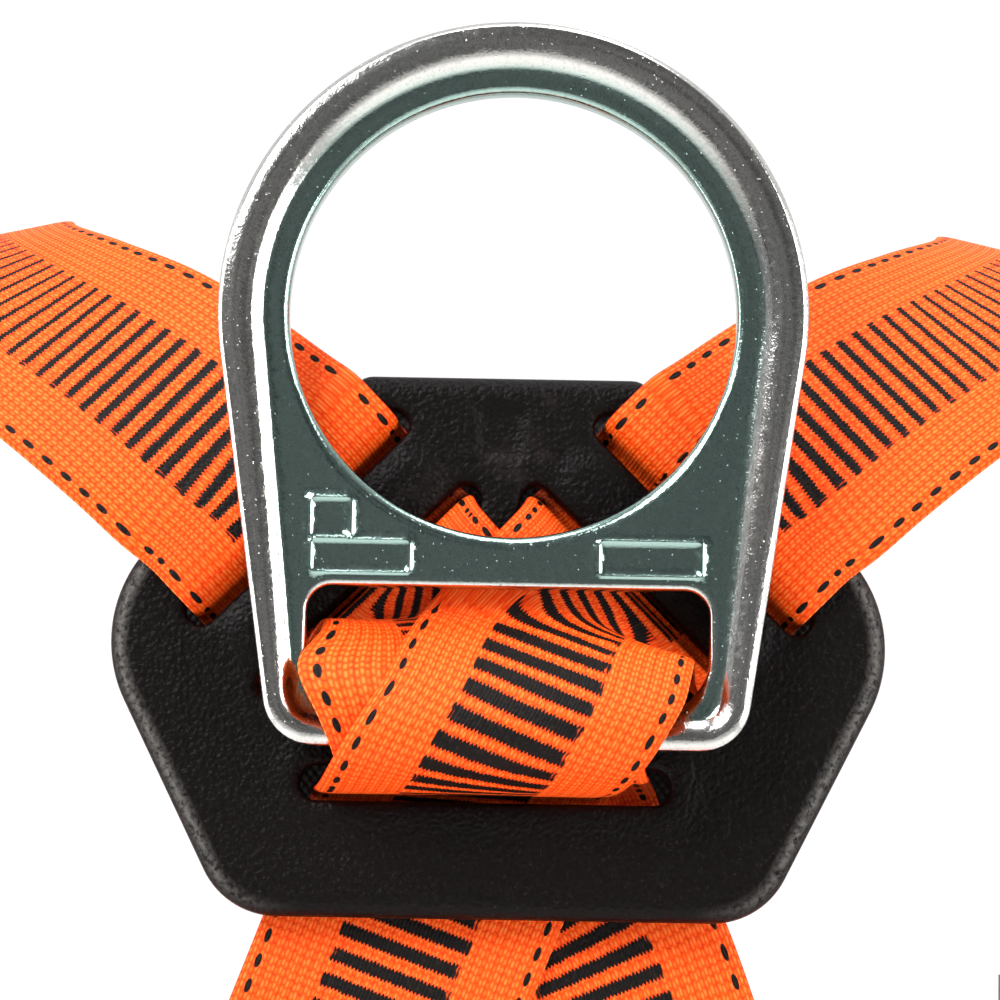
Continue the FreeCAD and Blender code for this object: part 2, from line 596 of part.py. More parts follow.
def buckle_housing():
    x0, x1 = HOUSING
    shell = box(x0, x1, -26.0, 26.0, -5.5, 5.5)
    shell = shell.makeFillet(2.0, shell.Edges)
    ear = box(x0 - 11.5, x0 + 3, -28.5, 28.5, -2.2, 2.2)
    ear = ear.makeFillet(1.8, [e for e in ear.Edges if e.Length < 5.1 or e.Length > 50])
    ear = ear.cut(box(x0 - 7.5, x0 - 1.0, -23.6, 23.6, -4, 4))
    shell = shell.fuse(ear)
    shell = shell.cut(box(x0 + 5, x1 + 1, -TONGUE_HALF - 0.9, TONGUE_HALF + 0.9, -2.1, 2.1))
    shell = shell.cut(box(BUTTON[0] - 0.5, BUTTON[1] + 0.5, -40, 40, -3.2, 3.2))
    return shell.removeSplitter()


def release_button(side):
    stem = box(BUTTON[0], BUTTON[1], 14.6, 29.4, -2.7, 2.7)
    stem = stem.makeFillet(1.0, [e for e in stem.Edges if e.Length > 11])
    ribs = []
    for i in range(5):
        x = BUTTON[0] + 1.6 + 2.2 * i
        ribs.append(box(x, x + 1.2, 29.0, 29.8, -2.0, 2.0))
    button = fuse_all([stem] + ribs)
    return button if side > 0 else button.mirror(V(0, 0, 0), V(0, 1, 0))


# ---------------------------------------------------------------- small trim
def keeper(length, half_w, n0, n1, wall):
    """Elastic loop round two layers of webbing; local x along the strap, z outwards."""
    outer = box(-length / 2, length / 2, -half_w - wall, half_w + wall, n0 - wall, n1 + wall)
    outer = outer.makeFillet(wall * 0.8, [e for e in outer.Edges if abs(e.Length - length) < 1e-3])
    return outer.cut(box(-length, length, -half_w, half_w, n0, n1))


def lanyard_sleeve():
    """Plastic sleeve round the torso strap with two hinge ears; local x up, z outwards."""
    sleeve = keeper(16, 23.2, -1.4, 1.4, 1.8)
    for y in (-9.0, 6.0):
        ear = box(-3, 3, y, y + 3, 2.6, 9.0)
        sleeve = sleeve.fuse(ear).cut(cylinder(1.5, V(0, y - 1, 6.4), V(0, y + 4, 6.4)))
    return sleeve.removeSplitter()


def lanyard_loop():
    """Oval loop for a lanyard hook, hinged between the sleeve's ears; hangs down (-x)."""
    pin = cylinder(1.2, V(0, -8.9, 0), V(0, 8.9, 0))
    neck = box(-7.0, 1.9, -5.4, 5.4, -1.9, 1.9)
    ring = Part.makeTorus(15.0, 2.2, V(-21.0, 0, 0.6), V(0, 0, 1))
    return fuse_all([pin, neck, ring])


def label_pouch():
    pouch = box(-POUCH_HALF, POUCH_HALF, -20, 20, 0, POUCH_T)
    pouch = pouch.makeFillet(1.5, [e for e in pouch.Edges if all(v.Point.z > 1 for v in e.Vertexes)])
    return pouch.cut(box(-30, POUCH_HALF + 2, -16.5, 16.5, 1.0, 3.2))


def label_flap():
    """Cover hinged along the pouch's upper edge, local x towards its free end."""
    length = 2 * POUCH_HALF + 4
    cover = box(0, length, -21, 21, -0.5, 0.5)
    corners = [e for e in cover.Edges if e.Length < 1.1 and e.Vertexes[0].Point.x > length - 1]
    cover = cover.makeFillet(4.0, corners)
    hinge = cylinder(0.9, V(0, -19, 0), V(0, 19, 0))
    return cover.fuse(hinge)


def bar_tacks(rows, width, pitch):
    """Rows of dense zigzag stitching; local x along the strap, z outwards, resting at z = 0."""
    return [box(i * pitch - 0.9, i * pitch + 0.9, -width / 2, width / 2, 0.02, 0.42) for i in range(rows)]


# ---------------------------------------------------------------- the assembly
nodes = {}


def add_pair(name, shape):
    """The right-hand piece and its mirror image on the left."""
    nodes[name + "_right"] = shape
    nodes[name + "_left"] = shape.mirror(V(SPINE_X, 0, 0), X)


nodes["dorsal_ring"] = make_dorsal_ring()
nodes["dorsal_pad"] = make_dorsal_pad()
nodes["pad_liner"] = make_pad_liner()
nodes["back_strap_right"] = webbing(back_strap_right)
nodes["back_strap_left"] = webbing(back_strap_left)
add_pair("front_strap", webbing(front_strap_right))
nodes["seat_strap"] = webbing(seat_strap)
add_pair("thigh_strap", webbing(thigh_strap_right))

torso_at = rel(CHEST_X, FRONT_Y, TORSO_Z)
add_pair("torso_adjuster", place(adjuster_frame(), torso_at, Z * -1, Y))
add_pair("torso_slide_bar", place(slide_bar(), torso_at, Z * -1, Y))

# the three buckles: slide-bar side origin and the direction of the adjustable strap
CHEST_AT = rel(CHEST_BUCKLE_X, FRONT_Y, CHEST_Z)
LEG_AT = rel(LX, LY, LZ)
for piece, shape in (("tongue", tongue_plate()), ("slide_bar", slide_bar()), ("housing", buckle_housing()),
                     ("button_a", release_button(1)), ("button_b", release_button(-1))):
    nodes["chest_" + piece] = place(shape, CHEST_AT, X, Y)
    add_pair("leg_" + piece, place(shape, LEG_AT, X * -1, Y))

ear_x = HOUSING[0] - 9.5   # bar of the housing's webbing slot, local x


def looped_end(bar_x, bar_y, towards, sewn, straight):
    """(x, y) route: sewn end, round the bar at (bar_x, bar_y), and away; `towards` is +1 or -1 in x."""
    s = towards
    return [(bar_x + s * sewn, bar_y + 1.0), (bar_x + s * 14, bar_y + 1.1), (bar_x + s * 5, bar_y + 3.4),
            (bar_x, bar_y + 4.3), (bar_x - s * 3.1, bar_y + 3.1), (bar_x - s * 4.4, bar_y),
            (bar_x - s * 3.1, bar_y - 3.1), (bar_x, bar_y - 4.3), (bar_x + s * 5, bar_y - 3.6),
            (bar_x + s * 14, bar_y - 1.1), (bar_x + s * straight, bar_y - 1.1)]


nodes["chest_strap_right"] = webbing(across_z(CHEST_RIGHT, CHEST_Z))
nodes["chest_strap_left"] = webbing(across_z([(-x, y) for x, y in CHEST_LEFT], CHEST_Z))
# short leg strap from the housing's bar back to the hip
leg_bar = LX - ear_x
short = across_z(looped_end(leg_bar, LY, 1, 15, 14), LZ) + flipped(hug_pairs(LEG_SHORT))
add_pair("leg_strap", webbing(short))

# keepers
torso_keeper_at = rel(CHEST_X, FRONT_Y, TORSO_Z - 52)
add_pair("torso_keeper", place(keeper(12, 23.2, -1.9, 3.8, 1.0), torso_keeper_at, Z * -1, Y))
nodes["chest_keeper"] = place(keeper(6, 23.2, -2.6, 4.5, 1.0), rel(53, FRONT_Y, CHEST_Z), X, Y)
add_pair("leg_keeper", place(keeper(6, 23.2, -5.5, -0.5, 1.0), rel(LX - 39, LY, LZ), X, Y))
add_pair("lanyard_sleeve", place(lanyard_sleeve(), rel(CHEST_X, 247.1, -112), Z, Y))
add_pair("lanyard_loop", place(lanyard_loop(), rel(CHEST_X, 247.1 + 6.4, -112), Z, Y))

# label pouch on the strap that runs to the left hip, low enough to clear the hanging ring
strap_way = rel(*BACK[3][:3]) - rel(*BACK[2][:3])
pouch_at = rel(*BACK[2][:3]) + strap_way * 0.3
pouch_at.y = POUCH_Y
strap_way.y = 0
strap_way.normalize()
nodes["label_pouch"] = place(label_pouch(), pouch_at, strap_way, Y * -1)
flap_at = pouch_at - strap_way * (POUCH_HALF + 1.5) - Y * (POUCH_T + 1.7)
nodes["label_flap"] = place(label_flap(), flap_at, strap_way, Y * -1)

# stitching
tacks = []
for s in (-1, 1):
    tacks += [place(t, rel(s * CHEST_X, 250.2, LOOP_Z + 38), Z * -1, Y) for t in bar_tacks(3, 38, 5)]
nodes["torso_stitching"] = Part.makeCompound(tacks)
tacks = []
for s in (-1, 1):
    tacks += [place(t, rel(s * TACK_X, TACK_Y, CHEST_Z), X * s, Y) for t in bar_tacks(1, 38, 3.4)]
nodes["chest_stitching"] = Part.makeCompound(tacks)

os.makedirs("parts", exist_ok=True)
for name, shape in nodes.items():
    shape.exportStep("parts/%s.step" % name)
    if not shape.isValid():
        print("not valid:", name)
print(len(nodes), "nodes")
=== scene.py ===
"""Looks of the full-body safety harness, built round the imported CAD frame."""
import math

import bmesh
import bpy
import numpy as np
from mathutils import Matrix, Vector, noise
from mathutils.geometry import delaunay_2d_cdt


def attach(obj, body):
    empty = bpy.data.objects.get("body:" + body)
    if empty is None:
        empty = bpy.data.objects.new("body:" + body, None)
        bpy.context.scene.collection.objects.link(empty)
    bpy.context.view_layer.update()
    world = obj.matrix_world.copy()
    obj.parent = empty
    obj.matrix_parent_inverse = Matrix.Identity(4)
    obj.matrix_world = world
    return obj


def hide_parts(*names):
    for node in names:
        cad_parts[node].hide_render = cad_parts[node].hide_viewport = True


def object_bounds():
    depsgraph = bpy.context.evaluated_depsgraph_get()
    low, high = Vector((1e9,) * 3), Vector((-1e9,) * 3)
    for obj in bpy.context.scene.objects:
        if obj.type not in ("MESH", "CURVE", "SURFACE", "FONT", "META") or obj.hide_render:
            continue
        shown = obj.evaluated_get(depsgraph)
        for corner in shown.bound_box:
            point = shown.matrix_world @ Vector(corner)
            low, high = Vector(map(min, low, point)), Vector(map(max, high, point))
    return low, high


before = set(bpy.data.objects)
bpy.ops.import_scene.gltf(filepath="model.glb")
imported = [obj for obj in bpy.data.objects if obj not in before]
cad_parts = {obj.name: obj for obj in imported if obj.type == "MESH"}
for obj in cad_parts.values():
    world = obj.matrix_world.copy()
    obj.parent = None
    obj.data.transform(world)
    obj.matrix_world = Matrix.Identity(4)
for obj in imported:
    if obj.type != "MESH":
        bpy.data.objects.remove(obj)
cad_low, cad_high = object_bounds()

MM = 0.001
V = Vector

# ---------------- sizes and routes, as in part.py (mm)
WEB_W = 45.0
WEB_T = 1.8
SPINE_X = -1.5
RING_R, HOLE_R = 46.5, 35.3
RING_BOTTOM = -68.4
LEG_TOP, LEG_FOOT = (46.4, -4.0), (38.2, -60.0)
SLOT_TOP, SLOT_BOTTOM, SLOT_HALF = -43.3, -62.2, 31.5
PAD_FRONT, PAD_BACK = 9.0, 15.0
PAD_CORNERS = [(22.0, -8.5, 3.5), (67.3, -45.4, 22.0), (42.5, -95.0, 13.0)]
UPPER_SLOT, BRIDGE, STRAP_SLOT = (32.4, -31.6), 16.6, (47.6, 5.0)
BOTTOM_SLOT = (-32.7, 26.3, -76.6, -70.9)
CHEST_X, CHEST_Z, TORSO_Z = 134.0, -174.0, -272.0
LOOP_Z = TORSO_Z + 17.0      # the adjuster's top bar, which the back strap's sewn loop goes round
LX, LY, LZ = 78.0, 218.0, -640.0


def rel(x, y, z):
    return V((SPINE_X + x, y, z))


def cross_pair(x, y, z, hx, hy, hz):
    h = V((hx, hy, hz)).normalized() * (WEB_W / 2)
    c = rel(x, y, z)
    return c - h, c + h


def hug_pairs(points):
    pairs = []
    centres = [rel(*p[:3]) for p in points]
    for i, p in enumerate(points):
        t = centres[min(i + 1, len(points) - 1)] - centres[max(i - 1, 0)]
        h = V(p[3:6]).cross(t).normalized() * (WEB_W / 2)
        pairs.append((centres[i] - h, centres[i] + h))
    return pairs


def flipped(pairs):
    return [(b, a) for a, b in pairs]


def mirrored(pairs):
    return [tuple(V((2 * SPINE_X - p.x, p.y, p.z)) for p in pair) for pair in pairs]


def across_z(points, z):
    return [cross_pair(x, y, z, 0, 0, 1) for x, y in points]


def edge_pairs(rows):
    return [(V(row[:3]), V(row[3:])) for row in rows]


# Shoulder strap from its sewn end at the torso adjuster, over the shoulder, to the pad's outer
# slot: centre point (x from the spine, y, z) and crosswise direction.
SHOULDER = [(CHEST_X, y, LOOP_Z + up, 1, 0, 0) for y, up in [
    (249.3, 42), (249.3, 24), (251.2, 9), (252.1, 0), (250.9, -2.9), (248.0, -4.1),
    (245.1, -2.9), (243.9, 0), (244.8, 9), (247.1, 24), (247.1, 42)]]
SHOULDER += [
    (CHEST_X, 247.1, -150, 1, 0, 0), (CHEST_X, 247.1, -130, 1, 0, 0),
    (CHEST_X, 247.1, -98, 1, 0, 0), (CHEST_X, 246.6, -88, 1, 0, 0),
    (CHEST_X + 0.5, 241, -64, 1, 0, 0), (CHEST_X - 1, 222, -30, 1, 0.02, 0),
    (CHEST_X - 9, 190, -2, 0.99, 0.14, -0.05), (CHEST_X - 22, 150, 15, 0.98, 0.2, -0.12),
    (CHEST_X - 33, 108, 22, 0.98, 0.17, -0.18), (CHEST_X - 37, 66, 20, 0.98, 0.07, -0.2),
    (92.7, 44.6, 14.5, 0.9, -0.3, -0.31), (80.0, 29.0, 5.0, 0.735, -0.42, -0.53),
    (63.4, 18.2, -6.0, 0.64, -0.33, -0.69), (52.0, 12.4, -14.5, 0.67, -0.2, -0.715),
    (43.5, 8.6, -21.5, 0.7, -0.06, -0.71),
]
# Through the pad: (distance from the outer slot towards the shoulder, y)
THROUGH_PAD = [(10, 7.3), (5, 6.9), (2.3, 7.3), (0.7, 9.3), (0.2, 12.0), (-0.3, 14.5), (-1.9, 16.2),
               (-4.5, 16.7), (-12.1, 16.7), (-14.7, 16.2), (-16.3, 14.5), (-16.8, 12.0), (-17.2, 9.6)]
SLANT = math.sqrt(0.5)
for d, y in THROUGH_PAD:
    SHOULDER.append((UPPER_SLOT[0] + d * SLANT, y, UPPER_SLOT[1] + d * SLANT, 1, 0, -1))

# Down the back to the opposite hip: (x, y, z) and outward normal
BACK = [
    (-14.0, 16.8, -98, 0, -1, 0), (-28.0, 17.2, -135, 0, -1, 0),
    (-53.0, 17.5, -200, 0, -1, 0), (-79.0, 18.5, -268, -0.08, -1, 0),
    (-112.0, 32.0, -350, -0.35, -0.93, 0), (-141.0, 60.0, -430, -0.7, -0.71, 0),
    (-159.5, 87.0, -482, -0.95, -0.3, 0), (-165.0, 101.0, -522, -1, -0.02, 0),
    (-165.4, 109.0, -552, -1, 0, 0), (-165.4, 117.0, -585, -1, 0, 0),
]


def back_pairs(layer):
    return hug_pairs([(x, y + layer, z, nx, ny, nz) for x, y, z, nx, ny, nz in BACK])


# Front strap: tail, round the torso adjuster's slide bar, down to the hip on the same side
FRONT_LOOP = [(CHEST_X, y, TORSO_Z + up, 1, 0, 0) for y, up in [
    (250.4, -102), (250.4, -50), (250.4, -36), (251.8, -22), (252.3, -12), (252.3, 0), (251.0, 3.0),
    (248.0, 4.3), (245.0, 3.0), (243.7, 0), (243.7, -12), (244.6, -22), (247.5, -36), (247.5, -50),
    (247.5, -90), (247.5, -100)]]
FRONT = [
    (135, 239, -410, 0.2, 1, 0), (147, 212, -462, 0.6, 0.8, 0),
    (158, 179, -510, 0.88, 0.48, 0), (166.4, 150, -544, 1, 0.1, 0),
    (167.8, 131, -568, 1, 0, 0), (167.8, 117, -590, 1, 0, 0),
]
front_route = [cross_pair(*p) for p in FRONT_LOOP] + flipped(hug_pairs(FRONT))

# Chest straps, seen from above (x from the spine, y): looped round the torso strap and sewn.  The
# right one runs on round the buckle's slide bar and ends in a tail.
TORSO_TURN = [(CHEST_X + dx, y) for dx, y in [
    (-21, 251.0), (-15, 251.2), (19, 251.2), (24.5, 251.1), (27.4, 249.8), (28.4, 247.1),
    (27.4, 244.6), (24.5, 243.3), (19, 243.2), (-15, 243.2), (-21, 243.6)]]
CHEST_RIGHT = [(48, 249.0), (62, 249.0), (CHEST_X - 33, 249.0)] + TORSO_TURN + [
    (CHEST_X - 33, 246.8), (62, 246.8), (48, 246.8), (43, 245.3), (38, 244.0), (33, 243.7),
    (21, 243.7), (18, 245.0), (16.7, 248.0), (18, 251.0), (21, 252.3), (33, 252.3), (40, 252.2),
    (46, 251.3), (62, 251.2)]
# The left one is a closed sling between the torso strap and the housing's bar, its ends meeting
# at the back.
CHEST_LEFT = [(54.5, 247.0), (62, 247.0), (CHEST_X - 33, 246.8), (CHEST_X - 21, 243.6)]
CHEST_LEFT += TORSO_TURN[::-1][1:]
CHEST_LEFT += [
    (CHEST_X - 33, 249.2), (62, 249.2), (54, 249.2), (48, 250.8), (42.5, 252.1), (39.4, 251.1),
    (38.1, 248.0), (39.4, 244.9), (42.5, 243.9), (48, 245.4), (53.5, 247.0)]

# Seat strap, hip to hip behind the wearer
SEAT = [
    (163.0, 122, -546, 1, 0, 0), (162.2, 98, -553, 1, -0.04, 0),
    (153.0, 52, -573, 0.87, -0.5, 0), (122.0, 12, -588, 0.5, -0.87, 0),
    (70.0, -8, -599, 0.15, -1, 0), (0.0, -14, -603, 0, -1, 0),
]
seat_half = hug_pairs(SEAT)
seat_route = seat_half + mirrored(seat_half[:-1])[::-1]

# Thigh strap: from the hip round the back and the inside of the thigh to the buckle's slide bar,
# with its tail lying in front
THIGH = [
    (170.2, 114, -556, 1, 0, 0), (169.8, 84, -586, 1, -0.08, 0),
    (152.0, 42, -630, 0.72, -0.69, 0), (108.0, 18, -664, 0.15, -1, 0),
    (66.0, 21, -683, -0.3, -0.95, 0), (32.0, 47, -688, -0.75, -0.66, 0),
    (15.0, 88, -684, -1, -0.2, 0), (12.0, 132, -672, -1, 0.05, 0),
    (13.5, 172, -657, -0.95, 0.3, 0), (18.5, 198, -646, -0.75, 0.66, 0),
    (26.0, 210.4, -641.5, -0.35, 0.94, 0), (33.0, 213.7, LZ, 0, 1, 0),
    (42.0, 213.8, LZ, 0, 1, 0),
]
THIGH_LOOP = [(LX + dx, y) for dx, y in [
    (-24, 213.8), (-12, 213.7), (0, 213.7), (3.0, 215.0), (4.3, 218.0), (3.0, 221.0), (0, 222.3),
    (-12, 222.3), (-20, 221.4), (-26, 217.6), (-32, 216.2), (-49, 216.2)]]
LEG_SHORT = [
    (158.0, 215.4, LZ + 1, 0.15, 1, 0), (167.0, 202.0, LZ + 9, 0.85, 0.5, 0),
    (171.8, 173, -610, 1, 0.12, 0), (173.2, 142, -586, 1, 0, 0),
    (173.2, 114, -562, 1, 0, 0),
]

thigh_route = flipped(hug_pairs(THIGH)) + across_z(THIGH_LOOP, LZ)
LEG_BAR = LX + 63.5          # the housing's webbing bar
SHORT_LOOP = [(LEG_BAR + dx, LY + dy) for dx, dy in [
    (15, 1.0), (14, 1.1), (5, 3.4), (0, 4.3), (-3.1, 3.1), (-4.4, 0), (-3.1, -3.1), (0, -4.3),
    (5, -3.6), (14, -1.1), (14, -1.1)]]
leg_route = across_z(SHORT_LOOP, LZ) + flipped(hug_pairs(LEG_SHORT))

# ---------------- meshes
def add_mesh(name, verts, faces, uvs=None):
    """verts in mm; uvs per vertex in metres of cloth, or None."""
    mesh = bpy.data.meshes.new(name)
    mesh.from_pydata([tuple(c * MM for c in v) for v in verts], [], faces)
    if uvs is not None:
        layer = mesh.uv_layers.new(name="cloth")
        flat = np.array(uvs, dtype=np.float32)[[l.vertex_index for l in mesh.loops]]
        layer.data.foreach_set("uv", flat.ravel())
    mesh.polygons.foreach_set("use_smooth", [True] * len(mesh.polygons))
    mesh.update()
    obj = bpy.data.objects.new(name, mesh)
    bpy.context.scene.collection.objects.link(obj)
    return obj


def hermite(p0, p1, m0, m1, t):
    t2, t3 = t * t, t * t * t
    start = p0 * (2 * t3 - 3 * t2 + 1) + m0 * (t3 - 2 * t2 + t)
    return start + p1 * (3 * t2 - 2 * t3) + m1 * (t3 - t2)


def smooth_run(pairs, step):
    """Edge pairs about `step` mm apart on the smooth curve through the given ones."""
    centres = [(a + b) * 0.5 for a, b in pairs]
    gaps = [max((centres[i + 1] - centres[i]).length, 0.2) for i in range(len(pairs) - 1)]

    def slope(curve, i):
        if i == 0:
            return (curve[1] - curve[0]) / gaps[0]
        if i == len(curve) - 1:
            return (curve[-1] - curve[-2]) / gaps[-1]
        before, after = (curve[i] - curve[i - 1]) / gaps[i - 1], (curve[i + 1] - curve[i]) / gaps[i]
        return (before * gaps[i] + after * gaps[i - 1]) / (gaps[i] + gaps[i - 1])

    runs = []
    for side in (0, 1):
        curve = [p[side] for p in pairs]
        runs.append((curve, [slope(curve, i) for i in range(len(curve))]))
    out = [pairs[0]]
    for i, gap in enumerate(gaps):
        turn = max(m[i].angle(m[i + 1], 0) for _, m in runs)
        steps = max(1, math.ceil(gap / step), math.ceil(turn / 0.2))
        for k in range(1, steps + 1):
            t = k / steps
            out.append(tuple(hermite(c[i], c[i + 1], m[i] * gap, m[i + 1] * gap, t) for c, m in runs))
    return out


# Where the webbing's cross section has its vertices, closer together towards its edges
ACROSS = [0, 0.004, 0.012, 0.025, 0.045, 0.075, 0.12, 0.17, 0.23, 0.3, 0.37, 0.44, 0.5,
          0.56, 0.63, 0.7, 0.77, 0.83, 0.88, 0.925, 0.955, 0.975, 0.988, 0.996, 1]

RIPPLE, RIPPLE_SCALE = 0.25, 0.035      # the webbing isn't quite flat: mm, and per mm


def ribbon(name, pairs, step=1.6, seed=0.0, bulge=None, lean=None):
    """Webbing along the edge pairs.  UV is in metres: across the web, and along it.
    bulge(u, along) moves a point by a vector in mm; lean is (along, skew) marks between which
    the cloth's own crosswise lines run askew by that much instead of square to the route."""
    run = smooth_run(pairs, step)
    centres = [(a + b) * 0.5 for a, b in run]
    n = len(run)
    verts, uvs, faces = [], [], []
    along = 0.0
    for i, (a, b) in enumerate(run):
        if i:
            along += (centres[i] - centres[i - 1]).length
        t = (centres[min(i + 1, n - 1)] - centres[max(i - 1, 0)]).normalized()
        h = b - a
        normal = t.cross(h).normalized()
        skew = h.dot(t)
        if lean and lean[0][0] <= along <= lean[-1][0]:
            skew = float(np.interp(along, [k[0] for k in lean], [k[1] for k in lean]))
        taper = min(1.0, (i + 0.6) / 1.5, (n - 1 - i + 0.6) / 1.5)
        for side in (1, -1):
            for u in ACROSS[::side]:
                half = WEB_T / 2 * math.sqrt(max(0.0, 1 - abs(2 * u - 1) ** 22)) * taper
                p = a + h * u
                at = V((p.x * RIPPLE_SCALE + seed, p.y * RIPPLE_SCALE, p.z * RIPPLE_SCALE))
                off = RIPPLE * noise.noise(at)
                if bulge:
                    p = p + bulge(u, along)
                verts.append(p + normal * (off + side * half))
                uvs.append((u * WEB_W * MM, (along + (u - 0.5) * skew) * MM))
    loop = 2 * len(ACROSS)
    for i in range(n - 1):
        for k in range(loop):
            k2 = (k + 1) % loop
            faces.append((i * loop + k, (i + 1) * loop + k, (i + 1) * loop + k2, i * loop + k2))
    faces.append(tuple(range(loop)))
    faces.append(tuple((n - 1) * loop + k for k in range(loop))[::-1])
    return add_mesh(name, verts, faces, uvs)


def arc_points(corners, spacing=1.0):
    """Closed outline with rounded corners from (x, z, radius), as a list of (x, z)."""
    pts = []
    count = len(corners)
    tangents = []
    for i, (x, z, r) in enumerate(corners):
        here = V((x, z))
        back = (V(corners[i - 1][:2]) - here).normalized()
        ahead = (V(corners[(i + 1) % count][:2]) - here).normalized()
        if r <= 0:
            tangents.append([here])
            continue
        half = back.angle(ahead) / 2
        centre = here + (back + ahead).normalized() * (r / math.sin(half))
        start, end = here + back * (r / math.tan(half)), here + ahead * (r / math.tan(half))
        a0 = math.atan2(start.y - centre.y, start.x - centre.x)
        a1 = math.atan2(end.y - centre.y, end.x - centre.x)
        turn = (a1 - a0 + math.pi) % (2 * math.pi) - math.pi
        steps = max(3, math.ceil(abs(turn) * r / spacing))
        angles = [a0 + turn * k / steps for k in range(steps + 1)]
        tangents.append([centre + V((math.cos(a), math.sin(a))) * r for a in angles])
    for i, arc in enumerate(tangents):
        pts += arc
        nxt = tangents[(i + 1) % count][0]
        steps = max(1, math.ceil((nxt - arc[-1]).length / spacing))
        pts += [arc[-1].lerp(nxt, k / steps) for k in range(1, steps)]
    return [(p[0], p[1]) for p in pts]


def inset(points, d):
    """The closed outline moved to its own left by d: inwards when it runs anticlockwise."""
    out = []
    count = len(points)
    for i, p in enumerate(points):
        q0, q1 = V(points[i - 1]), V(points[(i + 1) % count])
        t = (q1 - q0).normalized()
        out.append((p[0] - t.y * d, p[1] + t.x * d))
    return out


def distance_to(loop, pts):
    """Distance of each point in pts (N x 2) from the closed polyline."""
    a = np.array(loop)
    b = np.roll(a, -1, axis=0)
    ab = b - a
    best = np.full(len(pts), 1e9)
    for i in range(0, len(pts), 4000):
        p = pts[i:i + 4000]
        ap = p[:, None, :] - a[None]
        t = np.clip((ap * ab[None]).sum(2) / np.maximum((ab * ab).sum(1)[None], 1e-12), 0, 1)
        d = np.linalg.norm(ap - t[..., None] * ab[None], axis=2)
        best[i:i + 4000] = d.min(1)
    return best


def inside(loop, pts):
    a = np.array(loop)
    b = np.roll(a, -1, axis=0)
    x, y = pts[:, 0][:, None], pts[:, 1][:, None]
    run, rise = b[:, 0] - a[:, 0], b[:, 1] - a[:, 1] + 1e-12
    spans = (a[:, 1][None] > y) != (b[:, 1][None] > y)
    to_the_left = x < run[None] * (y - a[:, 1][None]) / rise[None] + a[:, 0][None]
    return (spans & to_the_left).sum(1) % 2 == 1


def flat_points(obj):
    """(x, z) of the vertices, in mm."""
    return np.array([(v.co.x, v.co.z) for v in obj.data.vertices]) / MM


def depth_in(loop, points):
    """Distance from the outline, negative outside it."""
    return distance_to(loop, points) * np.where(inside(loop, points), 1, -1)


def set_attribute(obj, name, values):
    """One number per vertex, which the materials read."""
    data = obj.data.attributes.new(name, "FLOAT", "POINT").data
    data.foreach_set("value", values.astype(np.float32))


def plate(name, outline, holes, contours, front, back, grid):
    """Plate in the XZ plane with shaped faces.  outline runs anticlockwise, holes clockwise; contours
    are extra closed lines the mesh follows; front(points) and back(points) give y on each face."""
    loops = [outline] + holes
    verts, edges = [], []
    for loop in loops + contours:
        base = len(verts)
        verts += [V(p) for p in loop]
        edges += [(base + k, base + (k + 1) % len(loop)) for k in range(len(loop))]
    xs, zs = [p[0] for p in outline], [p[1] for p in outline]
    gx = np.arange(min(xs), max(xs), grid)
    gz = np.arange(min(zs), max(zs), grid * 0.87)
    pts = np.array([(x + (grid / 2 if j % 2 else 0), z) for j, z in enumerate(gz) for x in gx])
    keep = inside(outline, pts)
    for hole in holes:
        keep &= ~inside(hole, pts)
    for loop in loops + contours:
        keep &= distance_to(loop, pts) > grid * 0.35
    verts += [V(p) for p in pts[keep]]
    co, _, tris, _, _, _ = delaunay_2d_cdt(verts, edges, [], 0, 1e-4)
    co = np.array([(c.x, c.y) for c in co])
    tris = np.array([t for t in tris if len(t) == 3])
    mid = co[tris].mean(1)
    ok = inside(outline, mid)
    for hole in holes:
        ok &= ~inside(hole, mid)
    tris = tris[ok]
    used = np.unique(tris)
    index = -np.ones(len(co), int)
    index[used] = np.arange(len(used))
    co, tris = co[used], index[tris]
    yf, yb = front(co), back(co)
    n = len(co)
    vs = [(x, y, z) for (x, z), y in zip(co, yf)] + [(x, y, z) for (x, z), y in zip(co, yb)]
    d = (co[tris[:, 1]] - co[tris[:, 0]])
    e = (co[tris[:, 2]] - co[tris[:, 0]])
    area = d[:, 0] * e[:, 1] - d[:, 1] * e[:, 0]
    tris[area < 0] = tris[area < 0][:, ::-1]
    faces = [tuple(int(k) for k in t) for t in tris]
    faces += [tuple(int(k) + n for k in t[::-1]) for t in tris]
    seen = dict.fromkeys((int(t[k]), int(t[(k + 1) % 3])) for t in tris for k in range(3))
    rim = [(a, b) for a, b in seen if (b, a) not in seen]
    steps = 3
    extra = {}
    for a in {v for r in rim for v in r}:
        chain = [a]
        for k in range(1, steps):
            f = k / steps
            vs.append((co[a][0], yf[a] * (1 - f) + yb[a] * f, co[a][1]))
            chain.append(len(vs) - 1)
        extra[a] = chain + [a + n]
    for a, b in rim:
        for k in range(steps):
            faces.append((extra[b][k], extra[a][k], extra[a][k + 1], extra[b][k + 1]))
    return add_mesh(name, vs, faces)


def ease(e, r):
    """Drop of a rounded edge of radius r at distance e from it."""
    x = np.clip(1 - e / r, 0, 1)
    return r * (1 - np.sqrt(np.clip(1 - x * x, 0, 1)))


# ---------------- materials
def rgb(r, g, b):
    """Linear colour from an 8-bit sRGB triple."""
    out = []
    for c in (r, g, b):
        c /= 255
        out.append(c / 12.92 if c <= 0.04045 else ((c + 0.055) / 1.055) ** 2.4)
    return (*out, 1)


def math_operator(operation, swapped=False):
    def apply(self, other=None):
        a, b = (other, self) if swapped else (self, other)
        return self.nodes.math(operation, a, b)
    return apply


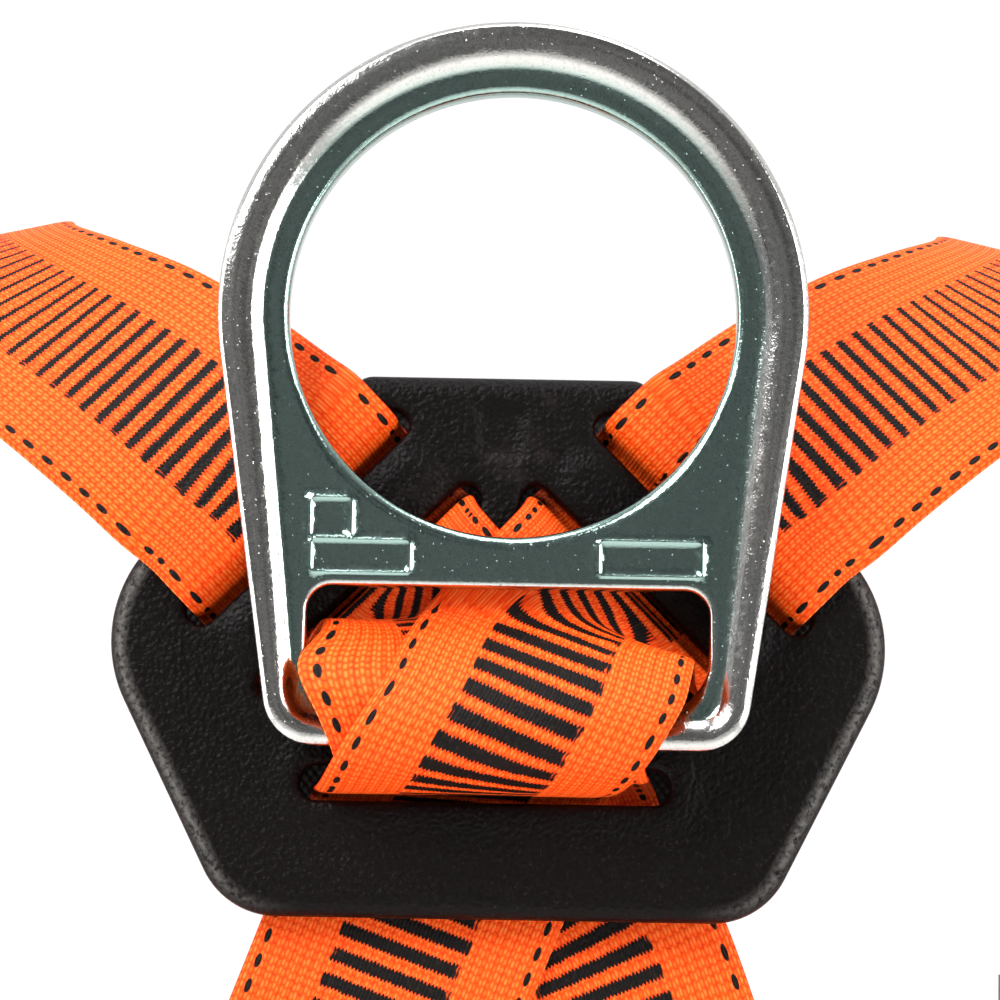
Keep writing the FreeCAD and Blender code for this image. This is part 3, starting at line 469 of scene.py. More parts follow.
class Value:
    """A node's output.  Arithmetic on it adds Math nodes to the same tree."""

    def __init__(self, nodes, socket):
        self.nodes, self.socket = nodes, socket

    __add__, __radd__ = math_operator("ADD"), math_operator("ADD", True)
    __sub__, __rsub__ = math_operator("SUBTRACT"), math_operator("SUBTRACT", True)
    __mul__, __pow__ = math_operator("MULTIPLY"), math_operator("POWER")
    __abs__ = math_operator("ABSOLUTE")


class Nodes:
    """The nodes of a new material or world, with short ways of adding and joining them."""

    def __init__(self, owner):
        self.owner = owner
        owner.use_nodes = True
        self.tree = owner.node_tree

    def add(self, kind, output, inputs=None, **settings):
        """The output of a new node, after feeding its inputs."""
        node = self.tree.nodes.new("ShaderNode" + kind)
        for key, value in settings.items():
            setattr(node, key, value)
        for key, value in (inputs or {}).items():
            self.feed(node.inputs[key], value)
        return Value(self, node.outputs[output])

    def feed(self, socket, value):
        if isinstance(value, Value):
            self.tree.links.new(value.socket, socket)
        elif value is not None:
            socket.default_value = value

    def math(self, operation, a, b=None):
        return self.add("Math", "Value", {0: a, 1: b}, operation=operation)

    def step(self, value, low, high):
        """0 below low, 1 above high, smooth between; runs backwards when high < low."""
        rising = low < high
        return self.add("MapRange", "Result", {
            "Value": value, "From Min": min(low, high), "From Max": max(low, high),
            "To Min": 1 - rising, "To Max": 0 + rising}, interpolation_type="SMOOTHSTEP")

    def noise(self, scale, detail, vector=None, rough=0.5, distortion=0.0):
        return self.add("TexNoise", "Fac", {
            "Scale": scale, "Detail": detail, "Roughness": rough, "Distortion": distortion,
            "Vector": vector or self.place()})

    def place(self):
        """Object coordinates."""
        return self.add("TexCoord", "Object")

    def cloth(self):
        """The cloth's own coordinates, in metres: across it, along it, 0."""
        return self.add("UVMap", "UV", uv_map="cloth")

    def axes(self, vector):
        """X, Y and Z of a vector."""
        x = self.add("SeparateXYZ", "X", {0: vector})
        return [Value(self, output) for output in x.socket.node.outputs]

    def attribute(self, name):
        return self.add("Attribute", "Fac", attribute_name=name)

    def mix(self, fac, a, b):
        return self.add("Mix", 2, {0: fac, 6: a, 7: b}, data_type="RGBA")

    def bump(self, height, distance, strength, after=None):
        return self.add("Bump", "Normal", {
            "Distance": distance, "Strength": strength, "Height": height, "Normal": after})

    def finish(self, colour, rough, normal=None, **constants):
        inputs = self.tree.nodes["Principled BSDF"].inputs
        self.feed(inputs["Base Color"], colour)
        self.feed(inputs["Roughness"], rough)
        self.feed(inputs["Normal"], normal)
        for key, value in constants.items():
            inputs[key.replace("_", " ")].default_value = value
        return self.owner


def new_material(name):
    return Nodes(bpy.data.materials.new(name))


# The webbing's weave, in mm: its columns' width, a float's length, the ribs' width
COLUMN, FLOAT_LENGTH, RIB = 0.62, 1.45, 1.7
BARRED = WEB_W * 0.2          # half the width of the barred middle, up to where the borders begin
STITCH_PITCH, STITCH_IN = 4.3, 2.0      # the edge stitches' spacing and distance from the edge


def webbing_material(name, base, highlight, deep, black):
    """Woven polyester webbing with two plain borders, crosswise black bars between them and a row
    of black stitches along each edge.  Reads ribbon()'s UV and the bar attributes of set_bars()."""
    m = new_material(name)
    uv = m.cloth()
    x, y, _ = m.axes(uv)
    across, along = x * 1000, y * 1000      # mm
    # weave: narrow columns of slightly raised floats, each out of step with the next, on broad soft
    # ribs that run along the web
    column = across * (1 / COLUMN)
    odd = m.math("FLOOR", m.math("MODULO", m.math("FLOOR", column), 2))
    rows = along * (1 / FLOAT_LENGTH) + odd * 0.22 + m.noise(260, 1, uv) * 0.7
    hump_x, hump_y = (m.math("SINE", m.math("FRACT", v) * math.pi) for v in (column, rows))
    broad = abs(m.math("SINE", across * (math.pi / RIB)))
    fibres = m.noise(1300, 2, uv, distortion=0.3)
    weave = (hump_y * hump_x) ** 0.6 * 0.55 + fibres * 0.35 + broad * 0.22
    # bars: phase and half thickness come as attributes, the ends of the bars are ragged
    from_bar = abs(m.math("FRACT", m.attribute("bar_phase")) - 0.5)
    tooth = (m.math("PINGPONG", column, 0.5) - 0.25) * 0.26
    ragged = (m.noise(900, 1, uv) - 0.5) * 0.14
    in_bar = m.step(m.attribute("bar_duty") * 0.5 + tooth + ragged - from_bar, -0.02, 0.02)
    middle = abs(across - WEB_W / 2)
    ends = odd * 0.5 + m.noise(500, 1, uv) * 1.4
    bars = in_bar * m.step(middle + ends, BARRED + 2.1, BARRED + 1.7)
    # edge stitches, each an oval
    from_edge = WEB_W / 2 - middle
    beat = m.math("FRACT", along * (1 / STITCH_PITCH))
    oval = ((from_edge - STITCH_IN) * (1 / 0.5)) ** 2.0 + ((beat - 0.5) * (1 / 0.29)) ** 2.0
    dark = m.math("MAXIMUM", bars, m.step(oval, 1.15, 0.8))
    # colour: painted shade in the weave's hollows and along the grooves, painted highlights on the
    # tallest floats
    groove = m.step(abs(middle - BARRED), 0.55, 0.2)
    tone = m.mix(m.step(weave, 0.15, 0.7), deep, base)
    tone = m.mix(m.step(weave, 0.62, 0.95) * 0.5, tone, highlight)
    tone = m.mix(m.step(m.noise(35, 3), 0.4, 0.75) * 0.15, tone, deep)
    tone = m.mix(groove * 0.3, tone, deep)
    ink = m.mix(m.step(fibres, 0.45, 0.85), black, rgb(34, 22, 16))
    # relief
    selvage = m.step(from_edge, 0.7, 0.25)
    height = weave - dark * 0.15 + selvage * (hump_y * 0.7) - groove * 0.3
    normal = m.bump(height, 0.00026, 0.8)
    return m.finish(m.mix(dark, tone, ink), 0.48 + fibres * 0.2, normal, Specular_IOR_Level=0.14)


def plated_metal(name, base, tint, rough, blotch, deep=None):
    """Zinc-plated forging: cool bright metal with cloudy colour, fine pits and soft handling marks.
    `deep` is the colour of the recessed web, where the mesh's own attribute says so."""
    m = new_material(name)
    clouds = m.noise(38, 4, rough=0.6)
    fine = m.noise(700, 3, rough=0.65)
    grains = m.noise(2300, 2, rough=0.6)
    spots = m.step(m.noise(1900, 1), 0.73, 0.80)
    tone = m.mix(m.step(clouds, 0.35, 0.7) * blotch, base, tint)
    if deep:
        tone = m.mix(m.attribute("recess"), tone, deep)
    tone = m.mix(m.step(grains, 0.45, 0.75) * 0.3, tone, rgb(110, 112, 112))
    tone = m.mix(spots * 0.5, tone, rgb(70, 70, 70))
    roughness = rough + m.step(fine, 0.4, 0.8) * 0.10 + spots * 0.15
    wave = m.bump(m.noise(90, 2), 0.00022, 0.35)
    normal = m.bump(fine + (grains * 0.7 + spots * -1.6), 0.00008, 0.5, wave)
    return m.finish(tone, roughness, normal, Metallic=1.0)


def moulded_plastic(name, base, worn, rough, grain, scale, shine=0.42, edge_glint_colour=None):
    """Moulded black plastic or rubber with a leathery grain and faint pale scuffs.  An optional edge
    colour gives a highlight painted along its edges, where the mesh's own attribute says so."""
    m = new_material(name)
    leather = m.noise(scale, 4, rough=0.6, distortion=0.3)
    pebble = m.add("TexVoronoi", "Distance", {"Scale": scale * 1.3, "Vector": m.place()},
                   feature="SMOOTH_F1")
    tone = m.mix(m.step(m.noise(60, 5, rough=0.7), 0.58, 0.75) * 0.25, base, worn)
    tone = m.mix(m.step(m.noise(1500, 2), 0.66, 0.74) * 0.35, tone, worn)
    if edge_glint_colour:
        # painted highlight along the edges, broken up by the grain
        tone = m.mix(m.attribute("painted_edge_glint") * m.step(leather, 0.3, 0.62), tone, edge_glint_colour)
    normal = m.bump(leather + pebble * 0.9, 0.00030 * grain, 0.5)
    return m.finish(tone, rough + leather * 0.2, normal, Specular_IOR_Level=shine)


def knit_material(name, base, highlight, pitch=1.1):
    """Ribbed woven elastic or tape, with ribs along the band's length."""
    m = new_material(name)
    x, y, _ = m.axes(m.cloth())
    ribs = m.math("SINE", x * (2000 * math.pi / pitch))
    cross = m.math("SINE", y * (2000 * math.pi / (pitch * 0.7)))
    fibres = m.noise(1300, 2)
    height = ribs * 0.5 + cross * 0.3 + fibres
    # painted shade and highlight: the ribs' low parts darker, their raised parts lighter
    tone = m.mix(m.step(height, 0.2, 1.1), base, highlight)
    return m.finish(tone, 0.62 + fibres * 0.2, m.bump(height, 0.0003, 0.7), Sheen_Weight=0.2)


def knit_object_material(name, base, highlight):
    """Fine knit over foam, laid straight through the object, for a flat face in the XZ plane."""
    m = new_material(name)
    x, _, z = m.axes(m.place())
    fibres = m.noise(1200, 2)
    height = m.math("SINE", x * 4200) * m.math("SINE", z * 3300) + fibres
    # painted shade and highlight: the knit's low parts darker, its raised loops lighter
    tone = m.mix(m.step(height, 0.2, 1.3), base, highlight)
    return m.finish(tone, 0.7 + fibres * 0.2, m.bump(height, 0.0003, 0.6))


def brushed_metal(name, base, tint):
    """Sandblasted and anodised housing, with pale scuffs."""
    m = new_material(name)
    fine = m.noise(1500, 3, rough=0.7)
    tone = m.mix(m.step(m.noise(45, 3), 0.4, 0.7), base, tint)
    scuff = m.step(m.noise(160, 5, rough=0.75), 0.60, 0.72)
    tone = m.mix(scuff * 0.5, tone, rgb(190, 190, 188))
    return m.finish(tone, 0.28 + fine * 0.16, m.bump(fine, 0.00006, 0.5), Metallic=0.95)


# base colour, painted highlight, painted shade, and the black of the bars and stitches
ORANGE = webbing_material("orange_webbing", rgb(255, 86, 9), rgb(255, 146, 72), rgb(222, 44, 2),
                          rgb(8, 5, 4))
ZINC = plated_metal("zinc_plate", rgb(206, 204, 200), rgb(176, 182, 184), rough=0.12, blotch=0.25,
                    deep=rgb(150, 176, 169))
STEEL = plated_metal("steel_plate", rgb(188, 190, 190), rgb(160, 166, 168), rough=0.24, blotch=0.2)
ALLOY = brushed_metal("anodised_alloy", rgb(92, 96, 102), rgb(70, 73, 80))
# the last colour is a painted highlight along the pad's edges
PAD = moulded_plastic("pad_rubber", rgb(10, 6, 6), rgb(58, 50, 48), rough=0.30, grain=1.5, scale=1100,
                      shine=0.1, edge_glint_colour=rgb(92, 89, 86))
PLASTIC = moulded_plastic("black_plastic", rgb(26, 26, 28), rgb(80, 80, 82), 0.36, 0.5, 900)
BUTTON = moulded_plastic("button_plastic", rgb(196, 62, 14), rgb(226, 120, 70), 0.38, 0.4, 900)
# each knit's second colour is a painted highlight on its raised ribs or loops
ELASTIC = knit_material("black_elastic", rgb(22, 21, 22), rgb(62, 60, 60))
FOAM = knit_object_material("liner_knit", rgb(11, 9, 9), rgb(28, 24, 24))
LABEL = knit_material("label_cloth", rgb(40, 41, 45), rgb(74, 75, 80), 0.8)
THREAD = knit_material("black_thread", rgb(24, 20, 18), rgb(72, 62, 56), 0.5)
ORANGE_THREAD = knit_material("orange_thread", rgb(240, 84, 20), rgb(255, 150, 80), 0.5)


def dress(obj, material, body, slot, *nodes):
    """Gives a new piece its material and body, and hides the CAD nodes it stands in for.  Its slot
    argument is not used.
    """
    obj.data.materials.append(material)
    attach(obj, body)
    if nodes:
        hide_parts(*nodes)
    return obj


# ---------------- webbing pieces
def length_to(pairs, index):
    """Length of the route in mm up to the given point."""
    centres = [(a + b) * 0.5 for a, b in pairs]
    return sum((centres[i + 1] - centres[i]).length for i in range(index))


def set_bars(obj, marks):
    """Writes the bars' phase and duty from (along, pitch, thickness) marks, all in mm."""
    layer = obj.data.uv_layers["cloth"].data
    count = len(obj.data.loops)
    uv = np.empty(count * 2, dtype=np.float32)
    layer.foreach_get("uv", uv)
    vertex = np.empty(count, dtype=np.int32)
    obj.data.loops.foreach_get("vertex_index", vertex)
    v = np.zeros(len(obj.data.vertices))
    v[vertex] = uv[1::2] / MM
    at, pitch, thick = (np.array(c, dtype=float) for c in zip(*marks))
    fine = np.arange(v.min() - 5, v.max() + 5, 0.5)
    pitches = np.interp(fine, at, pitch)
    phase = np.interp(v, fine, np.cumsum(0.5 / pitches))
    duty = np.interp(v, at, thick) / np.interp(v, at, pitch)
    set_attribute(obj, "bar_phase", phase)
    set_attribute(obj, "bar_duty", duty)


BAR_PERIOD = 150.0           # out of sight, the bars grow from thin to thick over this length


def graded_bars(length):
    marks = []
    start = -20.0
    while start < length + 20:
        marks += [(start, 4.2, 0.8), (start + BAR_PERIOD - 1, 4.4, 2.3)]
        start += BAR_PERIOD
    return marks


def strap(name, pairs, marks=None, **looks):
    obj = ribbon(name + "_webbing", pairs, **looks)
    set_bars(obj, marks or graded_bars(length_to(pairs, len(pairs) - 1)))
    dress(obj, ORANGE, "harness", "webbing", name)


# Where the straps cross behind the ring's crossbar, go forward through its slot, over its bar and
# back through the pad's bottom slot: x, y, z of both edges of each strap.
CROSS_RIGHT = [
    (1.4, 5.9, -30.2, 32.2, 6.9, -60.6), (-4.0, 5.4, -36.0, 29.9, 4.6, -58.4),
    (-9.0, 5.1, -41.3, 29.4, 0.7, -55.0), (-13.2, 3.6, -46.5, 29.2, -2.7, -54.6),
    (-16.5, -1.4, -52.0, 28.6, -5.6, -57.0), (-19.3, -7.4, -58.3, 27.5, -7.9, -61.2),
    (-23.6, -9.9, -65.3, 25.4, -8.4, -65.3), (-26.4, -8.2, -70.0, 22.6, -7.1, -70.0),
    (-28.3, -2.8, -73.0, 20.2, -2.8, -73.0), (-29.4, 3.0, -74.3, 18.6, 3.0, -74.3),
    (-30.1, 9.0, -74.6, 17.4, 9.0, -74.6), (-30.7, 13.9, -74.8, 16.8, 13.9, -74.8),
    (-31.3, 16.4, -76.2, 16.2, 16.4, -76.2), (-32.3, 16.9, -79.6, 14.6, 16.9, -79.6),
    (-34.2, 16.8, -83.2, 11.8, 16.8, -89.4),
]
CROSS_LEFT = [
    (-4.4, 7.6, -30.2, -35.2, 7.6, -60.6), (1.0, 7.7, -36.0, -34.0, 7.6, -56.0),
    (6.0, 7.7, -41.3, -32.2, 7.4, -52.2), (10.2, 7.3, -46.5, -30.2, 6.2, -49.2),
    (13.3, 4.6, -52.4, -28.9, 3.2, -48.8), (16.3, -1.6, -58.6, -27.6, -0.8, -52.8),
    (19.2, -6.2, -65.3, -26.4, -6.3, -61.8), (20.8, -4.9, -69.1, -26.2, -4.9, -69.1),
    (21.8, -1.0, -71.4, -26.4, -1.0, -71.4), (22.3, 4.0, -72.2, -26.1, 4.0, -72.2),
    (22.8, 9.0, -72.4, -26.0, 9.0, -72.4), (23.2, 15.2, -72.5, -25.7, 15.2, -72.5),
    (24.2, 18.4, -74.2, -25.2, 18.4, -74.2), (25.6, 19.0, -78.2, -23.8, 19.0, -78.2),
    (28.4, 18.9, -82.2, -20.0, 18.9, -87.2),
]
shoulder = [cross_pair(*p) for p in SHOULDER]
right_route = shoulder + edge_pairs(CROSS_RIGHT) + back_pairs(0)
left_route = mirrored(shoulder) + edge_pairs(CROSS_LEFT) + mirrored(back_pairs(2.1))
# Where the strap enters the pad, and where it lies over the ring's bar
PAD_IN = length_to(right_route, len(shoulder) - len(THROUGH_PAD))
OVER_BAR = length_to(right_route, len(shoulder) + 6)
OVER_BAR_LEFT = length_to(left_route, len(shoulder) + 6)


def back_marks(bar):
    """Thin bars over the shoulder, thick at the pad, a fan of thin ones behind the ring, thick over
    its bar: (along, pitch, thickness) each."""
    return [(0, 4.2, 2.2), (PAD_IN - 130, 3.2, 0.55), (PAD_IN - 50, 3.3, 0.95),
            (PAD_IN - 20, 3.6, 1.6), (PAD_IN, 4.0, 2.1), (PAD_IN + 12, 4.2, 2.0),
            (PAD_IN + 22, 2.7, 1.25), (bar - 17, 2.7, 1.25), (bar - 15, 4.3, 2.5), (bar + 12, 4.3, 2.5),
            (bar + 60, 4.3, 2.3), (bar + 200, 4.2, 0.8), (bar + 203, 4.4, 2.3), (bar + 380, 4.2, 0.8)]


strap("back_strap_right", right_route, marks=back_marks(OVER_BAR),
      lean=[(OVER_BAR - 17, -13.5), (OVER_BAR - 6, -17), (OVER_BAR + 6, -18), (OVER_BAR + 20, -16)])


# Where the swelling is greatest and how far it reaches, in mm along; the width's part where it begins
SWELL_AT, SWELL_REACH, FREE_FROM = 2.0, 7.5, 0.68


def pillow(u, along):
    """The under strap's free edge swells out beside the upper one, where the slot gathers both."""
    near = math.exp(-((along - OVER_BAR_LEFT + SWELL_AT) / SWELL_REACH) ** 2)
    free = max(0.0, (u - FREE_FROM) / 0.32)
    crease = 0.6 * math.sin(free * math.pi * 1.5) * near
    return V((-5.8 * free ** 1.3 * near, -1.8 * math.sin(free * math.pi * 0.7) * near - crease,
              0.8 * free * near))


strap("back_strap_left", left_route, marks=back_marks(OVER_BAR_LEFT), seed=3.0, bulge=pillow)
PAIRED = [("front", front_route, 5), ("thigh", thigh_route, 7), ("leg", leg_route, 9)]
for side in ("right", "left"):
    for name, route, seed in PAIRED:
        route = route if side == "right" else mirrored(route)
        strap(f"{name}_strap_{side}", route, step=3, seed=seed)
strap("seat_strap", seat_route, step=3, seed=11)
strap("chest_strap_right", across_z(CHEST_RIGHT, CHEST_Z), step=3, seed=13)
strap("chest_strap_left", across_z([(-x, y) for x, y in CHEST_LEFT], CHEST_Z), step=3, seed=15)


# ---------------- D-ring
RING_CORNER = 8.0            # radius of the outline's two lower corners


def ring_loop(inset_by, bottom, flare=0.0):
    """The ring's outline set in by a distance, anticlockwise, closed by a straight edge at
    z = bottom.  flare moves the two feet outwards."""
    r = RING_R - inset_by
    dx, dz = LEG_TOP[0] - LEG_FOOT[0], LEG_TOP[1] - LEG_FOOT[1]
    length = math.hypot(dx, dz)
    nx, nz = dz / length, -dx / length
    foot_x = nx * r + (bottom - nz * r) * dx / dz + flare
    corner = max(RING_CORNER - inset_by + flare, 1.0)
    a0 = math.atan2(nz, nx)
    steps = int((math.pi - 2 * a0) * r)
    bow = []
    for k in range(steps + 1):
        a = a0 + (math.pi - 2 * a0) * k / steps
        bow.append((r * math.cos(a), r * math.sin(a), 0))
    return arc_points([(foot_x, bottom, corner)] + bow + [(-foot_x, bottom, corner)])
HOLE_STEPS = 220


def circle(r):
    """The connector hole's outline for radius r, clockwise."""
    angles = [-2 * math.pi * k / HOLE_STEPS for k in range(HOLE_STEPS)]
    return [(r * math.cos(a), r * math.sin(a)) for a in angles]


def smooth_step(x, low, high):
    t = np.clip((x - low) / (high - low), 0, 1)
    return t * t * (3 - 2 * t)


# Plain raised frames on the web: x from, x to, z from, z to
FRAMES = [(13.9, 30.4, -41.4, -35.6), (-31.2, -15.4, -41.4, -36.0), (-31.4, -24.6, -36.0, -29.4)]


def frame_corners(box, grow=0.0):
    x0, x1, z0, z1 = box[0] - grow, box[1] + grow, box[2] - grow, box[3] + grow
    return [(x0, z0, 0.8), (x1, z0, 0.8), (x1, z1, 0.8), (x0, z1, 0.8)]


RIM_DEPTH, RIM_EDGE = 4.0, 0.7         # half thickness of the rim, and its outer bevel
RIM_CROWN = 0.35                       # the rim's face is slightly domed
WEB_DEPTH = 2.6                        # half thickness of the web
BEVEL_FROM, BEVEL_TO = 5.2, 7.4        # the rim's inner bevel, from the outside
POCKET_BOTTOM = -65.4
POCKET_FLARE = 2.4                     # the rim narrows by this towards the feet

# The frames' ridge: its outline outside the box, where its inner side begins, its height, the
# width of its sides
RIDGE_OUT, RIDGE_IN, RIDGE_RISE, RIDGE_SIDE = 0.15, 0.35, 0.32, 0.22
HOLE_EASE, HOLE_EASE_LOW = 1.2, 1.0    # the hole's eased edge, and what its lowest part adds to it
SLOT_EASE, BAR_EASE = 0.7, 1.5         # the slot's eased edge, and what the bar adds to it


def make_ring():
    outline = ring_loop(0, RING_BOTTOM)
    pocket = ring_loop(BEVEL_FROM, POCKET_BOTTOM, POCKET_FLARE)
    hole = circle(HOLE_R)
    slot = arc_points([(-SLOT_HALF, SLOT_TOP, 4), (SLOT_HALF, SLOT_TOP, 4),
                       (SLOT_HALF + 0.3, SLOT_BOTTOM, 8.5), (-SLOT_HALF - 0.3, SLOT_BOTTOM, 8.5)], 0.8)
    contours = [inset(outline, d) for d in (0.2, 0.45, RIM_EDGE, RIM_EDGE + 0.2, 1.7, 2.4)]
    contours += [ring_loop(d, POCKET_BOTTOM + d - BEVEL_FROM, POCKET_FLARE)
                 for d in (BEVEL_FROM, BEVEL_FROM + 0.7, BEVEL_TO - 0.7, BEVEL_TO)]
    contours += [circle(HOLE_R + d) for d in (0.12, 0.35, 0.7, 1.2, 1.8, 2.4)]
    contours += [inset(slot, -d) for d in (-0.12, -0.4, -0.9, -1.5)]
    for box in FRAMES:
        contours += [arc_points(frame_corners(box, g), 0.5) for g in (RIDGE_OUT, -0.07, -0.2, -0.42)]

    def depth(points, is_front):
        d = distance_to(outline, points)
        in_pocket, to_edge = inside(pocket, points), distance_to(pocket, points)
        to_pocket = np.where(in_pocket, to_edge, -1.0)
        to_hole, to_slot = distance_to(hole, points), distance_to(slot, points)
        h = RIM_DEPTH - RIM_EDGE + np.minimum(d, RIM_EDGE)
        over_rim = np.clip(d - RIM_EDGE, 0, None)
        crown = RIM_CROWN * np.sin(math.pi * over_rim / (over_rim + to_edge + 1e-6))
        h = h + np.where(in_pocket, 0.0, crown)
        h = h - (RIM_DEPTH - WEB_DEPTH) * smooth_step(to_pocket, 0, BEVEL_TO - BEVEL_FROM)
        low = smooth_step(-points[:, 1], 12, 28)
        h = h - ease(to_hole, HOLE_EASE + HOLE_EASE_LOW * low) * np.where(low > 0, 0.75, 1.0)
        at_bar = smooth_step(-points[:, 1], 57, 61)
        h = h - ease(to_slot, SLOT_EASE + BAR_EASE * at_bar)
        if is_front:
            for box in FRAMES:
                e = depth_in(arc_points(frame_corners(box, RIDGE_OUT), 0.5), points)
                inner_side = smooth_step(e, RIDGE_IN, RIDGE_IN + RIDGE_SIDE)
                h = h + RIDGE_RISE * (smooth_step(e, 0, RIDGE_SIDE) - inner_side)
        return np.maximum(h, 0.4)

    obj = plate("dorsal_ring_forging", outline, [hole, slot], contours,
                lambda p: -depth(p, True), lambda p: depth(p, False), 1.5)
    points = flat_points(obj)
    deep = np.where(inside(pocket, points), smooth_step(distance_to(pocket, points), 0.8, 2.4), 0.0)
    deep *= smooth_step(distance_to(slot, points), 0.3, 1.2)
    set_attribute(obj, "recess", deep)
    return obj


dress(make_ring(), ZINC, "ring", "zinc", "dorsal_ring")


# ---------------- pad
LIP = (44.0, 8.4)            # the raised bridge between the two slots of a side


def oval_loop(cx, cz, length, width, angle, grow=0.0):
    """Round-ended slot outline, clockwise, its long side turned by `angle` degrees."""
    spacing = 0.7
    r = width / 2 + grow
    half = length / 2 - width / 2
    c, s = math.cos(math.radians(angle)), math.sin(math.radians(angle))
    pts = []
    for end in (1, -1):
        count = max(6, int(math.pi * r / spacing))
        for k in range(count + 1):
            a = math.pi / 2 * end - math.pi * k / count
            pts.append((end * half + r * math.cos(a), r * math.sin(a)))
        run = int(2 * half / spacing)
        for k in range(1, run):
            pts.append((end * half - end * 2 * half * k / run, -end * r))
    return [(cx + x * c - z * s, cz + x * s + z * c) for x, z in pts]


def make_pad():
    corners = [(SPINE_X + x, z, r) for x, z, r in PAD_CORNERS]
    corners += [(SPINE_X - x, z, r) for x, z, r in reversed(PAD_CORNERS)]
    outline = arc_points(corners[::-1], 1.0)
    slots, lips = [], []
    for side in (-1, 1):
        def slanted(d, size):
            return (SPINE_X + side * (UPPER_SLOT[0] + d * SLANT), UPPER_SLOT[1] + d * SLANT,
                    *size, -45 * side)
        slots += [slanted(0, STRAP_SLOT), slanted(-BRIDGE, STRAP_SLOT)]
        lips.append(slanted(-BRIDGE / 2, LIP))
    left, right, low, high = BOTTOM_SLOT
    slots.append(((left + right) / 2, (low + high) / 2, right - left, high - low, 0))
    holes = [oval_loop(*s) for s in slots]
    contours = [inset(outline, d) for d in (0.3, 0.8, 1.5, 2.4, 3.2)]
    contours += [oval_loop(*s, g) for s in slots[:4] for g in (0.2, 0.6, 1.1)]
    contours += [oval_loop(*slots[4], g) for g in (0.2, 0.6, 1.1, 1.9)]
    recess = arc_points([(SPINE_X + x, z, 1.5)
                         for x, z in ((-4, -22), (4, -22), (4, -13), (-4, -13))], 0.7)
    contours += [recess, inset(recess, 0.8)]

    def front(points):
        y = PAD_FRONT + 0.8 * ease(distance_to(outline, points), 3.2)
        for loop in holes:
            y = y + ease(distance_to(loop, points), 1.1) * 0.9
        for lip in lips:
            y = y - 0.6 * smooth_step(depth_in(oval_loop(*lip), points), -0.4, 1.0)
        # a shallow swelling round the bottom slot, and the plain recess between the upper slots
        y = y - 0.35 * smooth_step(-distance_to(holes[4], points), -6.0, -2.0)
        y = y + 0.7 * smooth_step(depth_in(recess, points), 0, 0.8)
        return np.minimum(y, PAD_BACK - 1.0)

    def back(points):
        y = PAD_BACK - ease(distance_to(outline, points), 1.6)
        for loop in holes:
            y = y - ease(distance_to(loop, points), 0.8)
        return y

    obj = plate("dorsal_pad_moulding", outline, holes, contours, front, back, 1.5)
    points = flat_points(obj)
    edge = distance_to(outline, points)
    # painted highlight along the outline, on the left and right sides only
    glint_band = smooth_step(edge, 0.4, 1.3) * (1 - smooth_step(edge, 1.5, 3.0))
    glint_band *= smooth_step(np.abs(points[:, 0] - SPINE_X), 30, 50)
    set_attribute(obj, "painted_edge_glint", glint_band)
    return obj


dress(make_pad(), PAD, "harness", "pad", "dorsal_pad")


# ---------------- foam liner behind the pad
LINER_FRONT, LINER_T = 21.0, 3.0
LINER_SCALE, LINER_DROP = 0.95, 2.0
LINER_STUDS = [(0, -14.5), (53, -53), (-53, -53), (47, -74), (-47, -74)]


def make_liner():
    corners = [(SPINE_X + x * LINER_SCALE, z * LINER_SCALE - LINER_DROP, r)
               for x, z, r in PAD_CORNERS]
    corners += [(2 * SPINE_X - x, z, r) for x, z, r in reversed(corners)]
    outline = arc_points(corners[::-1], 1.4)

    def swell(points):
        e = distance_to(outline, points)
        seam = np.exp(-((e - 4.0) / 0.7) ** 2)
        return (LINER_T / 2) * np.clip(1 - np.exp(-e / 1.1), 0.15, 1) - 0.45 * seam

    middle = LINER_FRONT + LINER_T / 2
    contours = [inset(outline, d) for d in (0.4, 1.0, 2.0, 3.2, 3.6, 4.0, 4.4, 4.8)]
    return plate("pad_liner_foam", outline, [], contours,
                 lambda p: middle - swell(p), lambda p: middle + swell(p), 3.0)


# (radius, y) from the pad's back to the liner's
STUD_PROFILE = [(2.6, 14.9), (3.0, 15.3), (2.6, 16.4), (2.2, 18.0), (2.6, 19.8), (3.0, 20.9),
                (2.6, 21.4)]
STUD_SIDES = 24


def grid_faces(rows, columns):
    """Faces between closed rings of vertices."""
    faces = []
    for first in range(0, (rows - 1) * columns, columns):
        for k in range(columns):
            a, b = first + k, first + (k + 1) % columns
            faces.append((a, b, b + columns, a + columns))
    return faces


def tube_faces(base, rows, columns):
    """The same with both ends capped, for vertices that begin at `base`."""
    faces = [tuple(base + v for v in f) for f in grid_faces(rows, columns)]
    last = base + (rows - 1) * columns
    return faces + [tuple(range(base, base + columns)), tuple(range(last, last + columns))[::-1]]


def make_studs():
    verts, faces = [], []
    for x, z in LINER_STUDS:
        faces += tube_faces(len(verts), len(STUD_PROFILE), STUD_SIDES)
        for r, y in STUD_PROFILE:
            for k in range(STUD_SIDES):
                a = 2 * math.pi * k / STUD_SIDES
                verts.append(V((SPINE_X + x + r * math.cos(a), y, z + r * math.sin(a))))
    return add_mesh("pad_liner_studs", verts, faces)


# ---------------- small soft pieces
X, Y, Z = V((1, 0, 0)), V((0, 1, 0)), V((0, 0, 1))


def set_in(points, origin, a, n):
    """Local points (x along `a`, z along `n`) in the row frame."""
    w = n.cross(a)
    return [origin + a * x + w * y + n * z for x, y, z in points]


def finish_piece(obj, material, body, slot, *nodes):
    """Turns the faces outwards, then dresses the piece."""
    bm = bmesh.new()
    bm.from_mesh(obj.data)
    bmesh.ops.recalc_face_normals(bm, faces=bm.faces)
    bm.to_mesh(obj.data)
    bm.free()
    return dress(obj, material, body, slot, *nodes)


BAND_HALF, BAND_WALL = 23.2, 1.0
# How much of the wall is left at each place along the band, whose edges are rounded
BAND_STATIONS = [-1, -0.97, -0.88, -0.7, -0.35, 0, 0.35, 0.7, 0.88, 0.97, 1]


